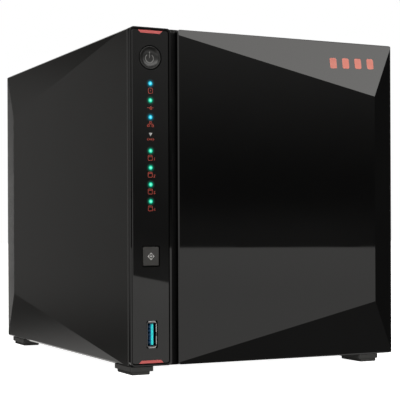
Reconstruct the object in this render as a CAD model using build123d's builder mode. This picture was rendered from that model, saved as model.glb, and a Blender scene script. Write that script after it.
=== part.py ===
"""Four-bay network storage enclosure: a faceted cover over a base and a steel drive cage, a control
column and a lift-off door in front, and a fan with the connectors behind.

Frame: +Z up, the front faces -Y, the origin is the centre of the footprint on the table. Millimetres.
"""

import os

from build123d import *

os.makedirs("parts", exist_ok=True)

# ---------------------------------------------------------------- driving dimensions
# Body
body_width = 170.0  # across the cover's straight edges
body_height = 184.5  # underside of the cover to its top
body_depth = 226.5  # face of the control fascia to the cover's rear edge

# Cover
cover_wall = 2.0
side_rise = 2.0  # how far the ridge of each side stands out
side_ridge_back = 21.0  # ridge to the rear edge
side_ridge_inset = 31.0  # ridge ends to the top and to the underside
cover_top_round = 6.0
cover_bottom_bevel = 3.0
cover_front_bevel = 0.5
cover_seam = 0.4  # gap between the cover's front edge and the fascia and door

# Control fascia and the thin rim around it
fascia_width = 21.9
fascia_depth = 3.2
fascia_bevel = 0.45
fascia_corner = 1.6
edge_margin = 0.2  # rim and door stop this far inside the cover's outline
rim_side = 0.7  # rim's width beside the fascia, on the outside
rim_groove_side = 1.4  # and towards the finger groove
rim_end = 0.9  # above and below the fascia
rim_gap = 0.3
rim_recess = 0.2  # rim behind the fascia's face
rim_bevel = 0.25
power_drop = 16.7  # power button below the top
power_radius = 6.2
button_gap = 0.5  # around each button
power_dish = 0.7
lights_drop = 30.8  # first light below the top
light_pitch = 9.14
light_radius = 1.3
mark_radius = 1.2
light_fit = 0.05
copy_height = 59.9  # middle of the copy button above the cover's underside
copy_width = 9.5
copy_tall = 10.4
button_travel = 1.0
usb_height = 17.4  # middle of the front socket above the cover's underside
usb_long = 13.1
usb_short = 5.7
usb_sheet = 0.3
usb_length = 14.8
usb_shift = 0.5  # socket beside the line of the buttons and lights
usb_margin_side = 0.45  # fascia window around the socket
usb_margin_end = 1.05
usb_lip = 0.85  # folded lips at the two ends of the front socket's mouth
usb_lip_inset = 0.6  # lips inside the shell's rounded corners
usb_recess = 0.5  # socket's mouth behind the face
tongue_thick = 1.9
tongue_long = 11.6
tongue_recess = 1.2
tongue_side = 0.5
button_plate = 2.4
button_flange = 1.2
accent_wide = 14.6
accent_tall = 1.6
accent_depth = 1.4
accent_edge = 0.5  # accent to the fascia's end
accent_fit = 0.1

# Door
groove_width = 3.9  # finger groove between the column and the door
door_edge_depth = 3.0
door_rise = 5.0  # ridge of the door in front of the fascia
door_ridge_side = 15.3  # ridge to the door's right edge
door_ridge_inset = 31.5
door_bevel = 0.6
door_top_drop = 3.0  # top facet's corner below the door's top left corner
door_low_rise = 1.3  # lower facet's corner above the bottom left corner
door_corner = 1.6
door_skin = 1.8
door_rim = 2.4
magnet_radius = 5.0
magnet_thick = 1.6
magnet_inset_x = 11.0  # magnets to the door's left and right edges
magnet_inset_z = 13.0  # magnets to the door's top and bottom edges
magnet_fit = 0.1
boss_wall = 1.4
pin_radius = 2.0
pin_length = 6.0
pin_gap = 0.3
pin_inset_x = 26.0  # locating pins to the door's left and right edges

# Front frame
frame_depth = 10.0
frame_skin = 3.0
fit_gap = 0.2  # between pieces that are fixed to each other
board_boss_radius = 2.6
board_boss_bore = 1.3
board_boss_inset = 3.2  # bosses to the bays' left wall
board_boss_drop = 11.0  # top boss below the top
air_slot_long = 14.0
air_slot_wide = 2.4
air_slot_pitch = 6.0
air_slots = 10

# Drive bays
bay_count = 4
cage_sheet = 1.0
cage_gap = 0.4  # cage to the cover's inside
cage_flange = 12.0  # flanges of the brackets under the cage
bracket_screw_front = 34.0  # screws through the brackets to the cage's front
bracket_screw_back = 22.0  # and to its back
wall_window_long = 76.0
wall_window_wide = 18.0
wall_window_pitch = 32.0
wall_windows_along = 5
sheet_window_long = 28.0
sheet_window_wide = 14.0
sheet_window_pitch = 40.0
sheet_windows_along = 4
drive_height = 101.6  # a 3.5 inch drive standing on its long edge
drive_thick = 26.1
drive_slack = 0.6
drive_holes_across = 95.25
drive_holes_along = 44.45
drive_hole_radius = 1.8
drive_hole_back = 41.28  # rear pair of holes to the back of the drive space
tray_rail = 5.5
tray_plate = 2.0
tray_gap = 0.4  # running clearance of a tray in the cage
plate_window_long = 80.0
plate_window_wide = 34.0
plate_window_pitch = 46.0
plate_windows = 3
tray_bezel = 3.4
bezel_slot_long = 22.0
bezel_slot_wide = 6.0
bezel_slot_pitch = 13.0
bezel_slots = 6
bezel_gap = 1.0  # between the bezels of two trays
bezel_recess = 6.4  # bezel behind the front of the frame
guide_width = 3.0
guide_height = 4.0
connector_space = 10.0  # behind the trays, for the drive connectors
fan_space = 11.0  # between backplane and fan

# Tray lever and latch
lever_front_gap = 1.4  # lever behind the door
lever_thick = 4.6
lever_lug = 3.0
lever_side_gap = 0.3
lever_top_gap = 2.0
lever_bevel = 0.8
lever_margin = 0.6  # lever inside the bezel on each side
lever_slot_long = 58.0
lever_slot_wide = 3.6
lever_slot_pitch = 7.0
lever_slots = 4
hinge_pin_radius = 1.0
hinge_running_gap = 0.05
hinge_barrel_radius = 2.6
hinge_height = 5.0  # pin above the tray's underside
latch_width = 12.0
latch_tall = 11.0
latch_travel = 3.0
latch_drop = 16.0  # middle of the latch below the lever's top
latch_flange = 1.6
latch_flange_thick = 1.4
latch_rib_pitch = 2.4
latch_ribs = 3
latch_rib_groove = 1.0
latch_rib_depth = 0.6
latch_rib_inset = 1.5

# Boards and what stands on them
board_thick = 1.6
front_board_back = 15.5  # board behind the face of the fascia
board_standoff = 6.0
board_margin = 8.0
standoff_radius = 2.6
standoff_bore = 1.4
switch_size = 6.0
switch_tall = 3.4
switch_stem = 1.0
plunger_radius = 1.6
connector_long = 42.0
connector_wide = 6.0
connector_deep = 8.0
connector_rise = 8.0  # middle of a connector above the middle of its bay
connector_slot = 1.6
connector_slot_deep = 5.0
power_slot_long = 22.0
power_slot_drop = 8.0  # power slot below the connector's middle
data_slot_long = 12.0
data_slot_rise = 13.0  # data slot above the connector's middle
backplane_slot_wide = 12.0
backplane_slot_inset = 15.0  # air slots to the bay's top and underside
sink_size = 40.0
sink_base = 2.5
sink_tall = 11.0
sink_fins = 10
sink_fin = 1.2
sink_along = 70.0  # heatsink's middle behind the board's front edge
sink_rise = 22.0  # heatsink's middle above the board's middle
processor_size = 28.0
processor_tall = 2.0

# Fan
fan_size = 120.0
fan_depth = 25.0
fan_duct_radius = 58.0
fan_tip_gap = 1.2
fan_hub_radius = 20.0
fan_motor_depth = 5.0
fan_blades = 7
fan_shaft_radius = 1.5
fan_hole_pitch = 105.0
fan_screw_radius = 2.2
fan_strut = 4.0
fan_corner = 6.0
fan_end_gap = 1.2  # hub to the fan's front, half of it to its motor
fan_hub_round = 2.0
blade_chord = 26.0
blade_thick = 1.6
blade_tilt = 35.0
blade_root = 1.5  # how far a blade reaches into the hub
blade_tip_margin = 3.0

# Rear panel
panel_sheet = 1.2
panel_inset = 1.0
grille_hex = 3.4
grille_pitch = 4.1
screw_head_radius = 3.6
screw_head_height = 2.4
screw_head_round = 0.9
screw_shank_radius = 1.4
screw_cross_long = 3.4
screw_cross_wide = 0.8
screw_cross_deep = 1.4
screw_inset = 6.0  # corner screws to the panel's edges
panel_screw_length = 8.0
fan_screw_length = 12.0
base_screw_radius = 3.0
base_screw_head = 1.6
base_screw_length = 6.0
port_proud = 0.6
port_gap = 0.3
lan_wide = 16.0
lan_tall = 13.4
lan_length = 21.3
lan_mouth_wide = 11.9
lan_mouth_tall = 8.0
lan_mouth_depth = 14.5
jack_size = 9.6
jack_length = 14.0
lan_clip_wide = 6.0
lan_clip_deep = 3.4
jack_bore_radius = 3.1
jack_pin_radius = 1.05
jack_end_wall = 3.0
reset_radius = 1.2
reset_gap = 0.3
reset_head = 2.0
reset_length = 9.0
reset_travel = 0.6
reset_flange = 1.0
reset_switch_size = 5.0
reset_switch_margin = 0.5
lock_slot_long = 7.0
lock_slot_short = 3.0

# Base and feet
base_sheet = 1.5
base_flange = 9.0
vent_slot_long = 26.0
vent_slot_wide = 3.0
vent_pitch_x = 34.0
vent_pitch_y = 7.0
vent_columns = 3
vent_rows = 16
foot_block_height = 2.6
foot_pad_height = 1.9
foot_block_wide = 13.4
foot_block_long = 24.0
foot_pad_inset = 2.6
foot_pad_shift = 0.4  # pads sit nearer the outer and front edges of their blocks
foot_side_inset = 0.6  # left feet inside the cover's left side
foot_right_inset = 9.6  # right feet inside the cover's right side
foot_front_inset = 1.2
foot_rear_inset = 9.0

# ---------------------------------------------------------------- places worked out from them
bottom_z = foot_block_height + foot_pad_height
top_z = bottom_z + body_height
mid_z = (bottom_z + top_z) / 2
half_width = body_width / 2

total_depth = door_rise + body_depth + screw_head_height - panel_inset
front_y = door_rise - total_depth / 2
back_y = front_y + body_depth
cover_front = front_y + fascia_depth + cover_seam

face_height = body_height - 2 * edge_margin
rim_left = -half_width + edge_margin
fascia_left = rim_left + rim_side + rim_gap
fascia_right = fascia_left + fascia_width
fascia_x = (fascia_left + fascia_right) / 2
fascia_height = face_height - 2 * (rim_end + rim_gap)
fascia_back = front_y + fascia_depth
rim_right = fascia_right + rim_gap + rim_groove_side

door_left = rim_right + groove_width
door_right = half_width - edge_margin
door_width = door_right - door_left
door_x = (door_left + door_right) / 2
door_top = top_z - edge_margin
door_bottom = bottom_z + edge_margin
door_back = front_y + door_edge_depth

inner_half = half_width - cover_wall - fit_gap
inner_top = top_z - cover_wall - fit_gap
inner_bottom = bottom_z
frame_front = cover_front
frame_back = frame_front + frame_depth

bay_left = door_left + cage_gap
bay_right = half_width - cover_wall - cage_gap - cage_sheet
bay_width = bay_right - bay_left
bay_pitch = bay_width / bay_count
bay_x = [bay_left + bay_pitch * (n + 0.5) for n in range(bay_count)]
bay_mid = (bay_left + bay_right) / 2
drive_space = drive_height + drive_slack
tray_height = drive_space + 2 * tray_rail
bay_height = tray_height + 2 * tray_gap
bay_bottom = mid_z - bay_height / 2
bay_top = mid_z + bay_height / 2
tray_bottom = mid_z - tray_height / 2
tray_width = bay_pitch - guide_width - 2 * tray_gap
bezel_width = bay_pitch - bezel_gap
bezel_front = frame_front + bezel_recess
bezel_back = bezel_front + tray_bezel

panel_back = back_y - panel_inset
panel_front = panel_back - panel_sheet
fan_back = panel_front
fan_front = fan_back - fan_depth
backplane_back = fan_front - fan_space
backplane_front = backplane_back - board_thick
tray_back = backplane_front - connector_space
cage_back = backplane_front - fit_gap

lever_front = door_back + lever_front_gap
lever_back = lever_front + lever_thick
hinge_y = lever_front + hinge_barrel_radius
hinge_z = tray_bottom + hinge_height
lever_top = tray_bottom + tray_height - lever_top_gap
lever_width = bezel_width - 2 * (lever_lug + lever_side_gap)
latch_z = lever_top - latch_drop
latch_slack = 0.3
window_tall = latch_tall + latch_travel + 2 * latch_slack
window_z = latch_z - latch_travel / 2

power_z = top_z - power_drop
copy_z = bottom_z + copy_height
usb_z = bottom_z + usb_height
usb_x = fascia_x + usb_shift
light_z = [top_z - lights_drop - light_pitch * n for n in range(8)]
blue_rows = (0, 2)
mark_row = 3
green_rows = (1, 4, 5, 6, 7)
front_board_face = front_y + front_board_back

board_right = bay_left - cage_sheet - board_standoff
board_face = board_right - board_thick
port_z = {"usb_upper": top_z - 62, "usb_lower": top_z - 84, "lan": top_z - 116, "jack": bottom_z + 30}
reset_z = top_z - 40
lock_z = top_z - 20
usb_port_x = board_face - usb_short / 2
lan_x = board_face - lan_tall / 2
jack_x = board_face - jack_size / 2

fan_x = bay_mid
fan_z = mid_z


# ---------------------------------------------------------------- helpers
def front_plane(y):
    """A sketch plane across the enclosure at depth y: x to the right, y up, normal to the front."""
    return Plane.XZ.offset(-y)


def facet(a, b, c, outward):
    """The plane through three points, with its normal on the outward side."""
    a, b, c = Vector(*a), Vector(*b), Vector(*c)
    normal = (b - a).cross(c - a).normalized()
    if normal.dot(Vector(*outward)) < 0:
        normal = -normal
    return Plane(origin=a, x_dir=b - a, z_dir=normal)


def save(piece, name):
    """Labels a finished piece and writes it to its own file."""
    piece.part.label = name
    export_step(piece.part, f"parts/{name}.step")


# ---------------------------------------------------------------- outer cover
def side_facets(side):
    """The four planes of one faceted side, side being -1 for the left and 1 for the right."""
    edge, ridge_x = side * half_width, side * (half_width + side_rise)
    ridge_y = back_y - side_ridge_back
    front_top, front_low = (edge, cover_front, top_z), (edge, cover_front, bottom_z)
    back_top, back_low = (edge, back_y, top_z), (edge, back_y, bottom_z)
    ridge_top = (ridge_x, ridge_y, top_z - side_ridge_inset)
    ridge_low = (ridge_x, ridge_y, bottom_z + side_ridge_inset)
    outward = (side, 0, 0)
    return [
        facet(front_top, front_low, ridge_top, outward),
        facet(front_top, back_top, ridge_top, outward),
        facet(front_low, back_low, ridge_low, outward),
        facet(back_top, back_low, ridge_top, outward),
    ]


def front_bevel(side):
    """The narrow bevel down the cover's front edge on one side."""
    edge = side * half_width
    return facet(
        (edge - side * cover_front_bevel, cover_front, 0),
        (edge - side * cover_front_bevel, cover_front, 1),
        (edge, cover_front + cover_front_bevel, 0),
        (side, -1, 0),
    )


with BuildPart() as outer_cover:
    with BuildSketch(front_plane(back_y)):
        with Locations((0, mid_z)):
            Rectangle(body_width + 2 * side_rise, body_height)
    extrude(amount=back_y - cover_front)
    long_edges = outer_cover.edges().filter_by(Axis.Y).group_by(Axis.Z)
    fillet(long_edges[-1], cover_top_round)
    chamfer(outer_cover.edges().filter_by(Axis.Y).group_by(Axis.Z)[0], cover_bottom_bevel)
    for side in (-1, 1):
        for plane in side_facets(side):
            split(bisect_by=plane, keep=Keep.BOTTOM)
        split(bisect_by=front_bevel(side), keep=Keep.BOTTOM)
    with BuildSketch(front_plane(back_y)):
        with Locations((0, (bottom_z + top_z - cover_wall) / 2 - cover_wall)):
            Rectangle(body_width - 2 * cover_wall, body_height + cover_wall)
    extrude(amount=back_y - cover_front, mode=Mode.SUBTRACT)
save(outer_cover, "outer_cover")

# ---------------------------------------------------------------- base pan and feet
base_front = frame_back + fit_gap
base_back = panel_front - fit_gap
base_length = base_back - base_front
base_mid = (base_front + base_back) / 2
base_top = inner_bottom + base_sheet
cage_front = frame_back + fit_gap
cage_length = cage_back - cage_front
bracket_left = bay_left
bracket_right = inner_half - base_sheet - cage_gap
base_screw_spots = [
    (x, y)
    for x in (bracket_left + cage_flange / 2, bracket_right - cage_flange / 2)
    for y in (cage_front + bracket_screw_front, cage_back - bracket_screw_back)
]

with BuildPart() as base_pan:
    with Locations((0, base_mid, inner_bottom)):
        Box(2 * inner_half, base_length, base_flange, align=(Align.CENTER, Align.CENTER, Align.MIN))
    with Locations((0, base_mid, inner_bottom + base_sheet)):
        Box(
            2 * (inner_half - base_sheet),
            base_length,
            base_flange,
            align=(Align.CENTER, Align.CENTER, Align.MIN),
            mode=Mode.SUBTRACT,
        )
    with BuildSketch(Plane.XY.offset(inner_bottom)):
        with Locations((0, base_mid)):
            with GridLocations(vent_pitch_x, vent_pitch_y, vent_columns, vent_rows):
                SlotOverall(vent_slot_long, vent_slot_wide)
        with Locations(base_screw_spots):
            Circle(screw_shank_radius)
    extrude(amount=base_sheet, mode=Mode.SUBTRACT)
save(base_pan, "base_pan")

foot_y = [
    front_y + foot_front_inset + foot_block_long / 2,
    back_y - foot_rear_inset - foot_block_long / 2,
]
foot_x = [
    -half_width + foot_side_inset + foot_block_wide / 2,
    half_width - foot_right_inset - foot_block_wide / 2,
]
foot_spots = [(x, y) for x in foot_x for y in foot_y]

with BuildPart() as foot_blocks:
    with Locations([(x, y, foot_pad_height) for x, y in foot_spots]):
        Box(
            foot_block_wide,
            foot_block_long,
            foot_block_height,
            align=(Align.CENTER, Align.CENTER, Align.MIN),
        )
    chamfer(foot_blocks.edges().filter_by(Axis.Z), 0.6)
save(foot_blocks, "foot_blocks")

with BuildPart() as foot_pads:
    with BuildSketch(Plane.XY):
        for x, y in foot_spots:
            outward = foot_pad_shift if x > 0 else -foot_pad_shift
            with Locations((x + outward, y - foot_pad_shift)):
                RectangleRounded(foot_block_wide - foot_pad_inset, foot_block_long - foot_pad_inset, 0.8)
    extrude(amount=foot_pad_height)
    chamfer(foot_pads.faces().group_by(Axis.Z)[0].edges(), 0.4)
save(foot_pads, "foot_pads")

# ---------------------------------------------------------------- front frame
magnet_spots = [
    (x, z)
    for x in (door_left + magnet_inset_x, door_right - magnet_inset_x)
    for z in (door_bottom + magnet_inset_z, door_top - magnet_inset_z)
]
pin_spots = [
    (x, z)
    for x in (door_left + pin_inset_x, door_right - pin_inset_x)
    for z in (door_bottom + magnet_inset_z, door_top - magnet_inset_z)
]
frame_height = inner_top - inner_bottom
frame_mid = (inner_top + inner_bottom) / 2
boss_x = bay_left - frame_skin - board_boss_inset
boss_heights = (top_z - board_boss_drop, (light_z[-1] + copy_z) / 2, (copy_z + usb_z) / 2)
boss_spots = [(boss_x, z) for z in boss_heights]

with BuildPart() as front_frame:
    with BuildSketch(front_plane(frame_back)):
        with Locations((0, frame_mid)):
            Rectangle(2 * inner_half, frame_height)
    extrude(amount=frame_depth)
    with BuildSketch(front_plane(frame_back)):
        with Locations((bay_mid, mid_z)):
            Rectangle(bay_width, bay_height)
    extrude(amount=frame_depth, mode=Mode.SUBTRACT)
    # Pockets behind the front skin, above and below the bays and behind the control column.
    pocket_bottom = inner_bottom + frame_skin
    pocket_top = inner_top - frame_skin
    column_left = -inner_half + frame_skin
    column_right = bay_left - frame_skin
    with BuildSketch(front_plane(frame_back)):
        with Locations(((column_left + column_right) / 2, (pocket_bottom + pocket_top) / 2)):
            Rectangle(column_right - column_left, pocket_top - pocket_bottom)
        for low, high in ((pocket_bottom, bay_bottom - frame_skin), (bay_top + frame_skin, pocket_top)):
            with Locations((bay_mid, (low + high) / 2)):
                Rectangle(bay_width, high - low)
    extrude(amount=frame_depth - frame_skin, mode=Mode.SUBTRACT)
    # Bosses that carry the front board.
    with BuildSketch(front_plane(front_board_face)):
        with Locations(boss_spots):
            Circle(board_boss_radius)
    extrude(amount=front_board_face - frame_front - frame_skin / 2)
    # Openings for the buttons, the lights and the socket.
    with BuildSketch(front_plane(frame_front)):
        with Locations((fascia_x, power_z)):
            Circle(power_radius + button_gap)
        with Locations((fascia_x, copy_z)):
            Rectangle(copy_width + 2 * button_gap, copy_tall + 2 * button_gap)
        with Locations((usb_x, usb_z)):
            Rectangle(usb_short + 2 * usb_margin_side, usb_long + 2 * usb_margin_end)
        with Locations([(fascia_x, z) for z in light_z]):
            Circle(light_radius + light_fit)
    extrude(amount=-frame_skin, mode=Mode.SUBTRACT)
    # Seats for the strike plates and the holes that take the door's locating pins.
    with BuildSketch(front_plane(frame_front)):
        with Locations(magnet_spots):
            Circle(magnet_radius + magnet_fit)
    extrude(amount=-magnet_thick, mode=Mode.SUBTRACT)
    with BuildSketch(front_plane(frame_front)):
        with Locations(pin_spots):
            Circle(pin_radius + pin_gap)
    extrude(amount=-frame_skin, mode=Mode.SUBTRACT)
    # Air slots below and above the bays.
    with BuildSketch(front_plane(frame_front)):
        for z in ((inner_bottom + bay_bottom) / 2, (inner_top + bay_top) / 2):
            with Locations((bay_mid, z)):
                with GridLocations(air_slot_pitch, 0, air_slots, 1):
                    SlotOverall(air_slot_long, air_slot_wide, rotation=90)
    extrude(amount=-frame_skin, mode=Mode.SUBTRACT)
save(front_frame, "front_frame")

with BuildPart() as strike_plates:
    with BuildSketch(front_plane(frame_front + magnet_thick)):
        with Locations(magnet_spots):
            Circle(magnet_radius)
    extrude(amount=magnet_thick)
save(strike_plates, "strike_plates")

# ---------------------------------------------------------------- control fascia and its accents
accent_angle = 45.0
accent_drop = (fascia_height - accent_tall) / 2 - accent_edge
accent_top_z = mid_z + accent_drop
accent_low_z = mid_z - accent_drop


def accent_outline(margin):
    """Both accents' outlines, wide at the fascia's ends, grown by a margin."""
    size = (accent_wide + 2 * margin, accent_tall + 2 * margin, accent_angle)
    with Locations((fascia_x, accent_top_z)):
        Trapezoid(*size, rotation=180)
    with Locations((fascia_x, accent_low_z)):
        Trapezoid(*size)


with BuildPart() as control_fascia:
    with BuildSketch(front_plane(fascia_back)):
        with Locations((fascia_x, mid_z)):
            RectangleRounded(fascia_width, fascia_height, fascia_corner)
    extrude(amount=fascia_depth)
    chamfer(control_fascia.faces().sort_by(Axis.Y)[0].edges(), fascia_bevel)
    with BuildSketch(front_plane(front_y)):
        with Locations((fascia_x, power_z)):
            Circle(power_radius + button_gap)
        with Locations((fascia_x, copy_z)):
            RectangleRounded(copy_width + 2 * button_gap, copy_tall + 2 * button_gap, 1.0)
        with Locations((usb_x, usb_z)):
            RectangleRounded(usb_short + 2 * usb_margin_side, usb_long + 2 * usb_margin_end, 0.9)
        with Locations([(fascia_x, light_z[n]) for n in blue_rows + green_rows]):
            Circle(light_radius + light_fit)
        with Locations((fascia_x, light_z[mark_row])):
            RegularPolygon(mark_radius + 2 * light_fit, 3, rotation=-90)
    extrude(amount=-fascia_depth, mode=Mode.SUBTRACT)
    with BuildSketch(front_plane(front_y)):
        accent_outline(accent_fit)
    extrude(amount=-accent_depth, mode=Mode.SUBTRACT)
save(control_fascia, "control_fascia")

with BuildPart() as accents:
    with BuildSketch(front_plane(front_y + accent_depth)):
        accent_outline(0)
    extrude(amount=accent_depth - accent_fit)
save(accents, "accents")

with BuildPart() as column_rim:
    with BuildSketch(front_plane(fascia_back)):
        with Locations(((rim_left + rim_right) / 2, mid_z)):
            RectangleRounded(rim_right - rim_left, face_height, fascia_corner + rim_end)
    extrude(amount=fascia_depth - rim_recess)
    chamfer(column_rim.faces().sort_by(Axis.Y)[0].edges(), rim_bevel)
    with BuildSketch(front_plane(fascia_back)):
        with Locations((fascia_x, mid_z)):
            RectangleRounded(
                fascia_width + 2 * rim_gap, fascia_height + 2 * rim_gap, fascia_corner + rim_gap
            )
    extrude(amount=fascia_depth, mode=Mode.SUBTRACT)
save(column_rim, "column_rim")


# ---------------------------------------------------------------- lights
def light_pipes(rows):
    """Round light pipes for some rows of the column, from the fascia's face to the front board."""
    with BuildPart() as pipes:
        with BuildSketch(front_plane(front_board_face - fit_gap)):
            with Locations([(fascia_x, light_z[n]) for n in rows]):
                Circle(light_radius)
        extrude(amount=front_board_face - fit_gap - front_y + light_fit)
        chamfer(pipes.edges().group_by(Axis.Y)[0], 0.25)
    return pipes


save(light_pipes(blue_rows), "lights_blue")
save(light_pipes(green_rows), "lights_green")

with BuildPart() as light_mark:
    with BuildSketch(front_plane(front_board_face - fit_gap)):
        with Locations((fascia_x, light_z[mark_row])):
            RegularPolygon(mark_radius, 3, rotation=-90)
    extrude(amount=front_board_face - fit_gap - front_y + light_fit)
save(light_mark, "light_mark")

# ---------------------------------------------------------------- buttons
plunger_end = front_board_face - switch_tall - switch_stem - button_travel - fit_gap

with BuildPart() as power_button:
    with BuildSketch(front_plane(front_y + button_plate)):
        with Locations((fascia_x, power_z)):
            Circle(power_radius)
    extrude(amount=button_plate)
    fillet(power_button.edges().group_by(Axis.Y)[0], 0.35)
    dish_edge = power_radius - 0.4
    dish_radius = (dish_edge**2 + power_dish**2) / (2 * power_dish)
    with Locations((fascia_x, front_y + power_dish - dish_radius, power_z)):
        Sphere(dish_radius, mode=Mode.SUBTRACT)
    with BuildSketch(front_plane(plunger_end)):
        with Locations((fascia_x, power_z)):
            Circle(plunger_radius)
    extrude(amount=plunger_end - front_y - button_plate + button_flange)
save(power_button, "power_button")

with BuildPart() as copy_button:
    with BuildSketch(front_plane(front_y + button_plate)):
        with Locations((fascia_x, copy_z)):
            RectangleRounded(copy_width, copy_tall, 0.8)
    extrude(amount=button_plate)
    fillet(copy_button.edges().group_by(Axis.Y)[0], 0.4)
    with BuildSketch(front_plane(plunger_end)):
        with Locations((fascia_x, copy_z)):
            Circle(plunger_radius)
    extrude(amount=plunger_end - front_y - button_plate + button_flange)
save(copy_button, "copy_button")

# ---------------------------------------------------------------- front board and socket
front_board_wide = column_right - column_left - 2 * fit_gap
front_board_tall = pocket_top - pocket_bottom - 2 * fit_gap
front_board_mid = (pocket_top + pocket_bottom) / 2
board_x = (column_left + column_right) / 2

with BuildPart() as front_board:
    with BuildSketch(front_plane(front_board_face + board_thick)):
        with Locations((board_x, front_board_mid)):
            Rectangle(front_board_wide, front_board_tall)
        with Locations(boss_spots):
            Circle(board_boss_bore, mode=Mode.SUBTRACT)
    extrude(amount=board_thick)
save(front_board, "front_board")

reset_end = panel_back - reset_length - reset_travel - reset_gap
reset_switch_wide = jack_size + 2 * reset_switch_margin

with BuildPart() as tact_switches:
    with BuildSketch(front_plane(front_board_face)):
        with Locations((fascia_x, power_z), (fascia_x, copy_z)):
            Rectangle(switch_size, switch_size)
    extrude(amount=switch_tall)
    with BuildSketch(front_plane(front_board_face - switch_tall)):
        with Locations((fascia_x, power_z), (fascia_x, copy_z)):
            Circle(plunger_radius)
    extrude(amount=switch_stem)
    # The third switch lies on the main board, in front of the reset button.
    with Locations((board_face - reset_switch_wide / 2, reset_end - reset_switch_size / 2, reset_z)):
        Box(reset_switch_wide, reset_switch_size, switch_size)
save(tact_switches, "tact_switches")

usb_front = front_y + usb_recess


def usb_shell(x, z, y_mouth, outward):
    """A standing socket's folded shell, open at its mouth; outward is -1 at the front, 1 behind."""
    y_end = y_mouth - outward * usb_length
    with BuildPart() as shell:
        with BuildSketch(front_plane(y_end)):
            with Locations((x, z)):
                RectangleRounded(usb_short, usb_long, 0.6)
        extrude(amount=-outward * usb_length)
        with BuildSketch(front_plane(y_mouth)):
            with Locations((x, z)):
                Rectangle(usb_short - 2 * usb_sheet, usb_long - 2 * usb_sheet)
        extrude(amount=outward * (usb_length - usb_sheet), mode=Mode.SUBTRACT)
    return shell.part


def usb_tongue(x, z, y_mouth, outward):
    """The socket's plastic tongue, fixed to the back of its shell."""
    length = usb_length - usb_sheet - tongue_recess
    y_tip = y_mouth - outward * tongue_recess
    with BuildPart() as tongue:
        with Locations((x + tongue_side, y_tip - outward * length / 2, z)):
            Box(tongue_thick, length, tongue_long)
    return tongue.part


with BuildPart() as front_usb_shell:
    add(usb_shell(usb_x, usb_z, usb_front, -1))
    for end in (-1, 1):
        with Locations((usb_x, usb_front + usb_sheet / 2, usb_z + end * (usb_long + usb_lip - usb_sheet) / 2)):
            Box(usb_short - 2 * usb_lip_inset, usb_sheet, usb_lip + usb_sheet)
save(front_usb_shell, "front_usb_shell")

# ---------------------------------------------------------------- door
ridge_x = door_right - door_ridge_side
ridge_y = front_y - door_rise


def door_facets(inset):
    """The four planes of the door's front, moved inwards by an inset."""
    left_top = (door_left, front_y, door_top - door_top_drop)
    left_low = (door_left, front_y, door_bottom + door_low_rise)
    right_top, right_low = (door_right, front_y, door_top), (door_right, front_y, door_bottom)
    ridge_top = (ridge_x, ridge_y, door_top - door_ridge_inset)
    ridge_low = (ridge_x, ridge_y, door_bottom + door_ridge_inset)
    outward = (0, -1, 0)
    return [
        facet(left_top, left_low, ridge_top, outward).offset(-inset),
        facet(left_top, right_top, ridge_top, outward).offset(-inset),
        facet(left_low, right_low, ridge_low, outward).offset(-inset),
        facet(right_top, right_low, ridge_top, outward).offset(-inset),
    ]


def door_bevels():
    """The four bevels along the edges of the door's front."""
    left, right = door_left + door_bevel, door_right - door_bevel
    low, high = door_bottom + door_bevel, door_top - door_bevel
    return [
        facet((left, front_y, 0), (left, front_y, 1), (door_left, front_y + door_bevel, 0), (-1, -1, 0)),
        facet((right, front_y, 0), (right, front_y, 1), (door_right, front_y + door_bevel, 0), (1, -1, 0)),
        facet((0, front_y, low), (1, front_y, low), (0, front_y + door_bevel, door_bottom), (0, -1, -1)),
        facet((0, front_y, high), (1, front_y, high), (0, front_y + door_bevel, door_top), (0, -1, 1)),
    ]


with BuildPart() as door_hollow:
    with BuildSketch(front_plane(door_back)):
        with Locations((door_x, mid_z)):
            RectangleRounded(door_width - 2 * door_rim, face_height - 2 * door_rim, door_corner)
    extrude(amount=door_edge_depth + door_rise)
    for plane in door_facets(door_skin):
        split(bisect_by=plane, keep=Keep.BOTTOM)
    # Bosses left standing for the magnets and the locating pins.
    with BuildSketch(front_plane(door_back)):
        with Locations(magnet_spots):
            Circle(magnet_radius + magnet_fit + boss_wall)
        with Locations(pin_spots):
            Circle(pin_radius + boss_wall)
    extrude(amount=door_edge_depth + door_rise, mode=Mode.SUBTRACT)

with BuildPart() as front_door:
    with BuildSketch(front_plane(door_back)):
        with Locations((door_x, mid_z)):
            RectangleRounded(door_width, face_height, door_corner)
    extrude(amount=door_edge_depth + door_rise)
    for plane in door_facets(0) + door_bevels():
        split(bisect_by=plane, keep=Keep.BOTTOM)
    add(door_hollow.part, mode=Mode.SUBTRACT)
    with BuildSketch(front_plane(door_back)):
        with Locations(magnet_spots):
            Circle(magnet_radius + magnet_fit)
    extrude(amount=magnet_thick, mode=Mode.SUBTRACT)
    with BuildSketch(front_plane(door_back)):
        with Locations(pin_spots):
            Circle(pin_radius)
    extrude(amount=-pin_length)
    chamfer(front_door.edges().group_by(Axis.Y)[-1], 0.5)
save(front_door, "front_door")

with BuildPart() as door_magnets:
    with BuildSketch(front_plane(door_back)):
        with Locations(magnet_spots):
            Circle(magnet_radius)
    extrude(amount=magnet_thick)
save(door_magnets, "door_magnets")

# ---------------------------------------------------------------- drive cage
cage_mid_y = cage_front + cage_length / 2
panel_bottom = bay_bottom - cage_sheet
panel_tall = bay_height + 2 * cage_sheet


with BuildSketch(Plane.YZ.offset(-half_width)) as wall_windows:
    with Locations((cage_mid_y, mid_z)):
        with GridLocations(wall_window_pitch, 0, wall_windows_along, 1):
            SlotOverall(wall_window_long, wall_window_wide, rotation=90)

with BuildSketch(Plane.XY.offset(panel_bottom)) as sheet_windows:
    with Locations((bay_mid, cage_mid_y)):
        with GridLocations(bay_pitch, sheet_window_pitch, bay_count, sheet_windows_along):
            SlotOverall(sheet_window_long, sheet_window_wide, rotation=90)

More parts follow.
